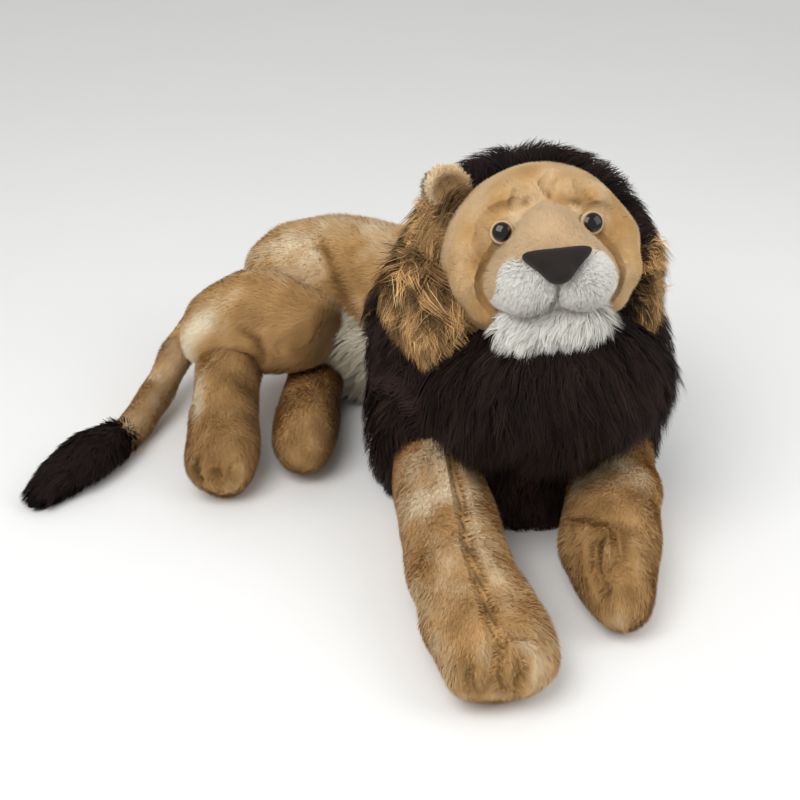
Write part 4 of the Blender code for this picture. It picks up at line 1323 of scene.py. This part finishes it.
class LION_OT_body(bpy.types.Operator):
    """Makes the stuffed body with its golden pile and the cream pile of its belly."""

    bl_idname = "lion.body"
    bl_label = "Body"

    def execute(self, context):
        pile = context.scene.lion_pile
        form = shape("torso")

        def belly(places):
            x, y, z = places.T
            across = np.clip((x - belly_left_x) / (belly_right_x - belly_left_x), 0, 1)
            top = belly_high_z - belly_slant * across + belly_rise
            within = (x > belly_left_x - belly_reach) & (x < belly_right_x) & (z < top)
            return within & (y < torso_place[1] + belly_middle_share * torso_sizes[0])

        gold = plush(lean=0.12, strokes=strokes_of(torso_marks))
        cream = plain(context.scene.lion_colours.belly, 0.12)
        tint = blended(gold, cream, lambda places: belly(places)[:, None])
        nodes = ("body_skin", "body_stuffing", "belly_panel")
        under = lay_skin("body_plush", form, pile_sink, "torso", tint, *nodes, fill=0.85)
        covered = clear_of("chest", "thigh", "foreleg_right", "foreleg_left", depth=0.012)
        comb = following(form.line, 0.5)
        grow(
            "body_pile", under, comb, gold, "torso", pile.short_length, pile.short_width,
            keep=lambda places: covered(places) * ~belly(places),
        )
        grow(
            "belly_pile", under, comb, cream, "torso", pile.short_length * belly_pile_share, pile.short_width,
            lift=40.0, steps=3, clump=0.7, tuft=14, droop=0.2,
            keep=lambda places: covered(places) * belly(places),
        )
        return {"FINISHED"}


class LION_OT_legs(bpy.types.Operator):
    """Makes the forelegs and both hind legs, each a stuffed skin with its pile."""

    bl_idname = "lion.legs"
    bl_label = "Legs"

    def execute(self, context):
        for name, values in legs.items():
            self.leg(context.scene.lion_pile, name, *values)
        return {"FINISHED"}

    def leg(self, pile, name, form_name, body, others, seed, lean, marks, partings):
        """One leg, its narrow strokes of painted shade drawn into the creases and seams of the skin that the
        pile stands on.
        """
        form = shape(form_name)
        strokes = [stroke for stroke in strokes_of(marks) if stroke[1] >= crease_width]
        for line, width, amount in strokes_of(marks):
            if width < crease_width:
                strokes.append((laid_on(form, line, pile_sink), width, amount))
        tint = plush(seed=seed, lean=lean, strokes=strokes)
        nodes = (f"{name}_skin", f"{name}_stuffing")
        under = lay_skin(f"{name}_plush", form, pile_sink, body, tint, *nodes, fill=0.8)
        seams = [laid_on(form, fold[0], pile_sink) for fold in folds_of(marks)[:partings]]
        covered = clear_of(*others, depth=0.02)

        def thinned(places):
            return np.clip(crease_thin_from + stroked(places, strokes), crease_thin_least, 1.0)

        grow(
            f"{name}_pile", under, parted(following(form.line, 0.3), seams), tint, body, pile.short_length,
            pile.short_width, lift=29.0, root_share=0.95,
            keep=lambda places: covered(places) * thinned(places),
        )


class LION_OT_tail(bpy.types.Operator):
    """Makes the stuffed tail and its dark tuft."""

    bl_idname = "lion.tail"
    bl_label = "Tail"

    def execute(self, context):
        pile, colours = context.scene.lion_pile, context.scene.lion_colours
        tail, tuft = shape("tail"), shape("tuft")
        tint = plush(seed=61, lean=0.2, strokes=strokes_of(tail_marks))
        under = lay_skin("tail_plush", tail, pile_sink, "tail", tint, "tail_skin", "tail_stuffing", fill=0.7)
        grow(
            "tail_pile", under, following(tail.line), tint, "tail", pile.short_length, pile.short_width,
            lift=27.0, root_share=0.95, keep=clear_of("tuft", "torso", depth=0.012),
        )
        dark = plain(colours.mane, 0.3)
        core = lay_skin("tuft_core", tuft, tuft_sink, "tail", dark, "tail_tuft", fill=0.5)
        grow(
            "tuft_pile", core, following(tuft.line, 0.1), dark, "tail", tuft_pile_length, pile.mane_width,
            look="mane_pile", lift=19.0, steps=4, clump=0.5, tuft=22, droop=0.2, wave=0.07, uneven=0.25,
            spread=0.3, root_share=0.7, hug="tuft", sink=tuft_sink, height=0.004,
            keep=lambda places: np.linalg.norm(places - tuft.line[-1], axis=1) > tuft_bare_end,
            tip_tint=plain(colours.mane_tip),
        )
        return {"FINISHED"}


class LION_OT_head(bpy.types.Operator):
    """Makes the head, its snout panel, muzzle pads, beard and ears, with their pile."""

    bl_idname = "lion.head"
    bl_label = "Head"

    def execute(self, context):
        pile, colours = context.scene.lion_pile, context.scene.lion_colours
        middle = head_frame() @ Vector(face_parting)
        white = plain(colours.white, 0.04)
        self.face(pile, colours, white, away_from(middle))
        for side, other in (("right", "left"), ("left", "right")):
            self.muzzle(side, other, pile, white, away_from(middle, muzzle_push))
        under = lay_skin("chin_plush", shape("beard"), chin_sink, "head", white, "chin_beard", fill=0.8)
        grow(
            "chin_pile", under, away_from(middle, chin_push), white, "head", chin_pile_length,
            pile.short_width, steps=4, lift=34.0, droop=0.25, clump=0.62, tuft=26, wave=0.08, swirl=0.7,
            jitter=0.3, uneven=0.1,
        )
        for side in ears:
            self.ear(side, pile, colours)
        return {"FINISHED"}

    def face(self, pile, colours, white, comb):
        """The golden head and the snout panel, whose lower half is white."""
        eyes = [np.array(place.translation) for place in eye_frames()]
        # The head's golden pile, with painted sheen and shade in patches of its nap and painted light over
        # the whole by its lean
        brushed, cream = plush(size=0.06, seed=71, lean=0.2), plain(colours.cream)
        strokes = strokes_of(head_marks)
        edge_x, edge_z = zip(*white_edge)

        def off_eyes(places):
            share = np.ones(len(places))
            for eye in eyes:
                share *= np.linalg.norm(places - eye, axis=1) > eye_radius
            return share

        def tint(places):
            # Painted shade along the snout panel's fold, and the head's strokes of painted light and shade
            fold = snout_fold_shade * snout_nearness(places) ** 4
            lean = (stroked(in_head(places), strokes) - fold)[:, None]
            high, low = np.clip(lean, 0.0, 1.0), np.clip(-lean, 0.0, 1.0)
            pale, deep = np.array(colours.pale_gold), np.array(colours.deep_gold)
            return brushed(places) * (1 - high - low) + pale * high + deep * low

        def whiter(places):
            local = in_head(places)
            below = np.interp(np.abs(local[:, 0]), edge_x, edge_z) - local[:, 2]
            return np.clip(below / white_edge_fade + 0.5, 0.0, 1.0)[:, None]

        snout_tint = blended(cream, white, whiter)
        nodes = ("head_skin", "head_stuffing", "neck_stuffed_tube")
        under = lay_skin("head_plush", shape("head"), face_pile_sink, "head", tint, *nodes, fill=0.95)
        off_snout, deep_in = clear_of("snout", depth=0.004), clear_of("collar", depth=0.055)
        width = pile.short_width * 0.8
        grow(
            "head_pile", under, comb, tint, "head", pile.face_length, width, lift=40.0, swirl=0.2,
            keep=lambda places: off_snout(places) * deep_in(places) * off_eyes(places),
        )
        snout = shape("snout")
        under = lay_skin("snout_plush", snout, face_pile_sink, "head", snout_tint, "snout_panel", fill=0.95)
        off_pads = clear_of("pad_right", "pad_left", depth=0.004)
        grow(
            "snout_pile", under, comb, snout_tint, "head", pile.face_length, width, lift=40.0, swirl=0.15,
            keep=lambda places: off_pads(places) * off_eyes(places),
        )

    def muzzle(self, side, other, pile, white, comb):
        """One muzzle pad, darker in the seam between the two, partly the sewn mouth line and partly painted
        shade in the gap, and with painted shade underneath.
        """

        def tint(places):
            local = in_head(places)
            # Painted shade in the seam between the pads, where the sewn mouth line also runs, and under the
            # pads
            seam = np.exp(-((local[:, 0] / mouth_width) ** 2))
            seam = mouth_shade * seam * np.clip(0.5 - local[:, 2] / mouth_fade, 0.0, 1.0)
            under = muzzle_low_shade * np.clip((muzzle_low_z - local[:, 2]) / muzzle_low_fade, 0.0, 1.0)
            return white(places) * ((1.0 - seam) * (1.0 - under))[:, None]

        name, pad = f"muzzle_{side}", shape(f"pad_{side}")
        nodes = (f"muzzle_pad_{side}",)
        under = lay_skin(f"{name}_plush", pad, face_pile_sink, "head", tint, *nodes, fill=0.95)
        grow(
            f"{name}_pile", under, comb, tint, "head", pile.face_length * muzzle_pile_share,
            pile.short_width * 0.9, lift=44.0, steps=2, clump=0.45, tuft=12, droop=0.15, swirl=0.5,
            jitter=0.3, uneven=0.07, keep=clear_of(f"pad_{other}", depth=0.001),
        )

    def ear(self, side, pile, colours):
        """One ear: golden outside and at its rim, darker and longer pile in its dished front."""
        pose = ear_pose(side)

        def inside(places):
            local = (places - np.array(pose.translation)) @ np.array(pose.to_3x3()) / np.array(ear_half)
            out = np.hypot(local[:, 0], local[:, 2] + ear_lining_low) - ear_lining_share
            middle = 1.0 - np.clip(out / ear_lining_fade, 0.0, 1.0)
            return (middle * (local[:, 1] < ear_lining_back))[:, None]

        tint = blended(plush(size=0.03, seed=81, lean=0.75), plain(colours.lining, 0.2), inside)
        name = f"ear_{side}"
        nodes = (name, f"ear_lining_{side}")
        under = lay_skin(f"{name}_plush", shape(name), ear_sink, "head", tint, *nodes, fill=0.7)
        root = pose @ Vector((0.0, ear_root_y, -2 * ear_half[2]))
        grow(
            f"{name}_pile", under, away_from(root), tint, "head", ear_pile_length, pile.short_width * 0.9,
            lift=42.0, steps=2, clump=0.45, tuft=14, swirl=0.6, jitter=0.3, uneven=0.1,
        )


def turned(profile, matrix, steps):
    """A profile of (radius, height) points spun about the matrix's Z axis."""
    bm = bmesh.new()
    points = [bm.verts.new((radius, 0.0, height)) for radius, height in profile]
    edges = [bm.edges.new(pair) for pair in zip(points, points[1:])]
    whole = {"cent": (0.0, 0.0, 0.0), "axis": up_z, "angle": 2 * math.pi, "use_merge": True}
    bmesh.ops.spin(bm, geom=points + edges, steps=steps, **whole)
    bmesh.ops.remove_doubles(bm, verts=bm.verts, dist=1e-6)
    bmesh.ops.transform(bm, verts=bm.verts, matrix=matrix)
    return outward_mesh(bm, "turned")


def eye_colours(places, frame):
    """Rings of colour about the eye's axis: black pupil, brown iris, pale rim."""
    local = frame.inverted()
    radii = np.array([Vector((local @ Vector(place))[:2]).length for place in places]) / eye_radius
    stops, colours = zip(*eye_rings)
    return np.stack([np.interp(radii, stops, channel) for channel in zip(*colours)], axis=1)


class LION_OT_face(bpy.types.Operator):
    """Makes the safety eyes and the velour nose."""

    bl_idname = "lion.face"
    bl_label = "Face"

    def execute(self, context):
        for side, place in zip(("right", "left"), eye_frames()):
            self.eye(side, place)
        rings = []
        bm = bmesh.new()
        for forward, scale in nose_ring_shares:
            ring = [
                bm.verts.new((across * nose_width * scale, -forward * nose_depth, rise * nose_height * scale))
                for across, rise in nose_outline_shares
            ]
            rings.append([bm.edges.new(pair) for pair in zip(ring, ring[1:] + ring[:1])])
        for near, far in zip(rings, rings[1:]):
            bmesh.ops.bridge_loops(bm, edges=near + far)
        bmesh.ops.holes_fill(bm, edges=bm.edges, sides=len(nose_outline_shares))
        form = swollen(Form(smoothed(bm, smooth_levels), [(0, 0, 0), (0, 0, 1)]), nostril_dents)
        form.placed(head_frame() @ Matrix.Translation(nose_place) @ turned_by((("X", nose_tilt_deg),)))
        nose = new_piece("nose_velour", form.mesh, "nose_velour", "head")
        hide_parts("nose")
        return {"FINISHED"}

    def eye(self, side, place, arcs=24, sides=64):
        """A domed safety eye, closed underneath in the head."""
        under = -shank_length / 2
        profile = [(0.0, under), (eye_radius * eye_back_share, under), (eye_radius, -eye_sink * 2)]
        for arc in range(arcs):
            angle = math.pi / 2 * arc / arcs
            profile.append((eye_radius * math.cos(angle), eye_bulge * math.sin(angle)))
        mesh = turned([*profile, (0.0, eye_bulge)], place, sides)
        paint_points(mesh, eye_colours(rows_of(mesh.vertices, "co"), place))
        eye = new_piece(f"eye_{side}_dome", mesh, "eye_plastic", "head")
        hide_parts(f"eye_{side}", f"eye_washer_{side}")


class LION_OT_manes(bpy.types.Operator):
    """Makes the dark manes of head, throat and chest and the golden ruffs by the jaws."""

    bl_idname = "lion.manes"
    bl_label = "Manes"

    def execute(self, context):
        pile, colours = context.scene.lion_pile, context.scene.lion_colours
        dark, width = plain(colours.mane, 0.3), pile.mane_width
        strands = dict(
            look="mane_pile", steps=3, clump=0.55, tuft=24, wave=0.06, jitter=0.25, swirl=0.6, uneven=0.2,
            locks=0.6, spread=0.3, tip_tint=plain(colours.mane_tip, 0.25), root_share=0.8, tip_share=1.0,
            sink=mane_sink,
        )
        pose = head_frame()

        def fanned(places):
            local = in_head(places)
            local[:, 1] = mane_fan_y
            return unit(local) @ np.array(pose.to_3x3()).T + np.array(mane_fan_push)

        def above_hem(places):
            return np.clip((places[:, 2] - throat_hem) / throat_fade, 0.0, 1.0)

        core = lay_skin("head_mane_core", shape("collar"), mane_sink, "head", dark, "head_mane", fill=0.6)
        grow(
            "head_mane_pile", core, fanned, dark, "head", pile.mane_length * head_mane_share, width,
            lift=24.0, droop=0.2, hug="collar", height=0.005,
            keep=clear_of("head", "ruff_right", "ruff_left", depth=0.012), **strands,
        )
        throat = shape("throat")
        core = lay_skin("throat_mane_core", throat, mane_sink, "head", dark, "throat_mane", fill=0.6)
        deep_in = clear_of("head", "collar", depth=0.03)
        grow(
            "throat_mane_pile", core, falling(pose.translation, 0.0), dark, "head",
            pile.mane_length * throat_mane_share, width, lift=10.0, droop=0.3, settle=0.12,
            keep=lambda places: deep_in(places) * above_hem(places), **strands,
        )
        core = lay_skin("chest_mane_core", shape("chest"), mane_sink, "torso", dark, "chest_mane", fill=0.6)
        strands.update(tip_tint=plain(np.array(colours.mane_tip) * chest_tip_gain, 0.3), wave=0.11)
        grow(
            "chest_mane_pile", core, falling((*chest_place, 0.0), chest_spread), dark, "torso",
            pile.mane_length * chest_mane_share, width, lift=20.0, droop=0.2, hug="chest", height=0.005,
            keep=clear_of("torso", "head", depth=0.03), **strands,
        )
        strands.update(
            tip_tint=plain(colours.ruff, 0.25), root_share=1.0, tip_share=1.15, sink=ruff_sink, wave=0.20,
            clump=0.75, tuft=40, steps=4, uneven=0.35, locks=0.8,
        )
        self.ruffs(pose, plain(colours.ruff_root, 0.2), strands, width)
        return {"FINISHED"}

    def ruffs(self, pose, roots, strands, width):
        """The golden long pile beside each jaw, with the fringe that leads up to the right ear."""
        for side, out in (("right", -1.0), ("left", 1.0)):
            name, form = f"ruff_{side}", shape(f"ruff_{side}")
            core = lay_skin(f"{name}_core", form, ruff_sink, "head", roots, f"cheek_{name}", fill=0.5)
            mirror = np.array((out, 1.0, 1.0))
            comb = away_from(pose @ Vector(ruff_parting * mirror), ruff_push * mirror)
            grow(
                f"{name}_pile", core, comb, roots, "head", ruff_pile_length, width, lift=34.0, droop=0.25,
                hug=name, height=0.020, keep=clear_of("head", depth=0.01), **strands,
            )
        fringe = [np.array(pose @ Vector(point)) for point in fringe_line]
        grow(
            "fringe_right_pile", shape("collar").sunk(mane_sink * 0.6),
            away_from(pose.translation, fringe_push), roots, "head", fringe_pile_length, width, lift=36.0,
            droop=0.3,
            keep=lambda places: np.exp(-((line_distance(places, fringe)[0] / fringe_width) ** 2)), **strands,
        )


class LION_OT_stage(bpy.types.Operator):
    """Makes the floor, the lamps, the light all round and the camera."""

    bl_idname = "lion.stage"
    bl_label = "Stage"

    def execute(self, context):
        scene, stage = context.scene, context.scene.lion_stage
        bm = bmesh.new()
        bmesh.ops.create_grid(bm, x_segments=8, y_segments=8, size=floor_half)
        mesh = bpy.data.meshes.new("floor")
        bm.to_mesh(mesh)
        bm.free()
        mesh.materials.append(finish("floor_paper"))
        linked("floor", mesh)
        self.lamp("key", stage.key_power)
        self.lamp("side", stage.fill_power)
        scene.world = bpy.data.worlds.new("studio")
        scene.world.use_nodes = True
        tree = scene.world.node_tree
        sky = tree.nodes["Background"]
        sky.inputs["Color"].default_value = (1.0, 1.0, 1.0, 1.0)
        path = tree.nodes.new("ShaderNodeLightPath")
        strength = tree.nodes.new("ShaderNodeMix")
        strength.inputs[2].default_value = stage.sky
        strength.inputs[3].default_value = 1.0
        tree.links.new(path.outputs["Is Camera Ray"], strength.inputs[0])
        tree.links.new(strength.outputs[0], sky.inputs["Strength"])
        camera = bpy.data.cameras.new("camera")
        camera.lens = stage.focal_length
        camera.sensor_width = sensor_width
        scene.camera = linked("camera", camera)
        scene.camera.location = camera_place
        scene.camera.rotation_euler = (math.radians(camera_tilt_deg), 0.0, 0.0)
        scene.view_settings.view_transform = "Standard"
        return {"FINISHED"}

    def lamp(self, name, power):
        """A square lamp that looks at the lion."""
        place, size = lamps[name]
        light = bpy.data.lights.new(name, "AREA")
        light.size = size
        light.energy = power
        holder = linked(name, light)
        holder.location = place
        holder.rotation_euler = (Vector(lamp_target) - Vector(place)).to_track_quat("-Z", "Y").to_euler()


operators = (
    LION_OT_body, LION_OT_legs, LION_OT_tail, LION_OT_head, LION_OT_face, LION_OT_manes, LION_OT_stage,
)


class LION_PT_panel(bpy.types.Panel):
    """Lists the pieces of the lion and their settings."""

    bl_idname = "LION_PT_panel"
    bl_label = "Plush Lion"
    bl_space_type = "VIEW_3D"
    bl_region_type = "UI"
    bl_category = "Plush Lion"

    def draw(self, context):
        scene = context.scene
        for settings in (scene.lion_pile, scene.lion_colours, scene.lion_stage):
            box = self.layout.box()
            for name in settings.__annotations__:
                box.prop(settings, name)
        for operator in operators:
            self.layout.operator(operator.bl_idname)


setting_groups = {"lion_pile": PileSettings, "lion_colours": ColourSettings, "lion_stage": StageSettings}


def register():
    for name, group in setting_groups.items():
        bpy.utils.register_class(group)
        setattr(bpy.types.Scene, name, PointerProperty(type=group))
    for kind in (*operators, LION_PT_panel):
        bpy.utils.register_class(kind)


def unregister():
    for kind in (LION_PT_panel, *reversed(operators)):
        bpy.utils.unregister_class(kind)
    for name, group in reversed(setting_groups.items()):
        delattr(bpy.types.Scene, name)
        bpy.utils.unregister_class(group)


def main():
    register()
    for operator in operators:
        group, name = operator.bl_idname.split(".")
        getattr(getattr(bpy.ops, group), name)()


if __name__ == "__main__":
    main()
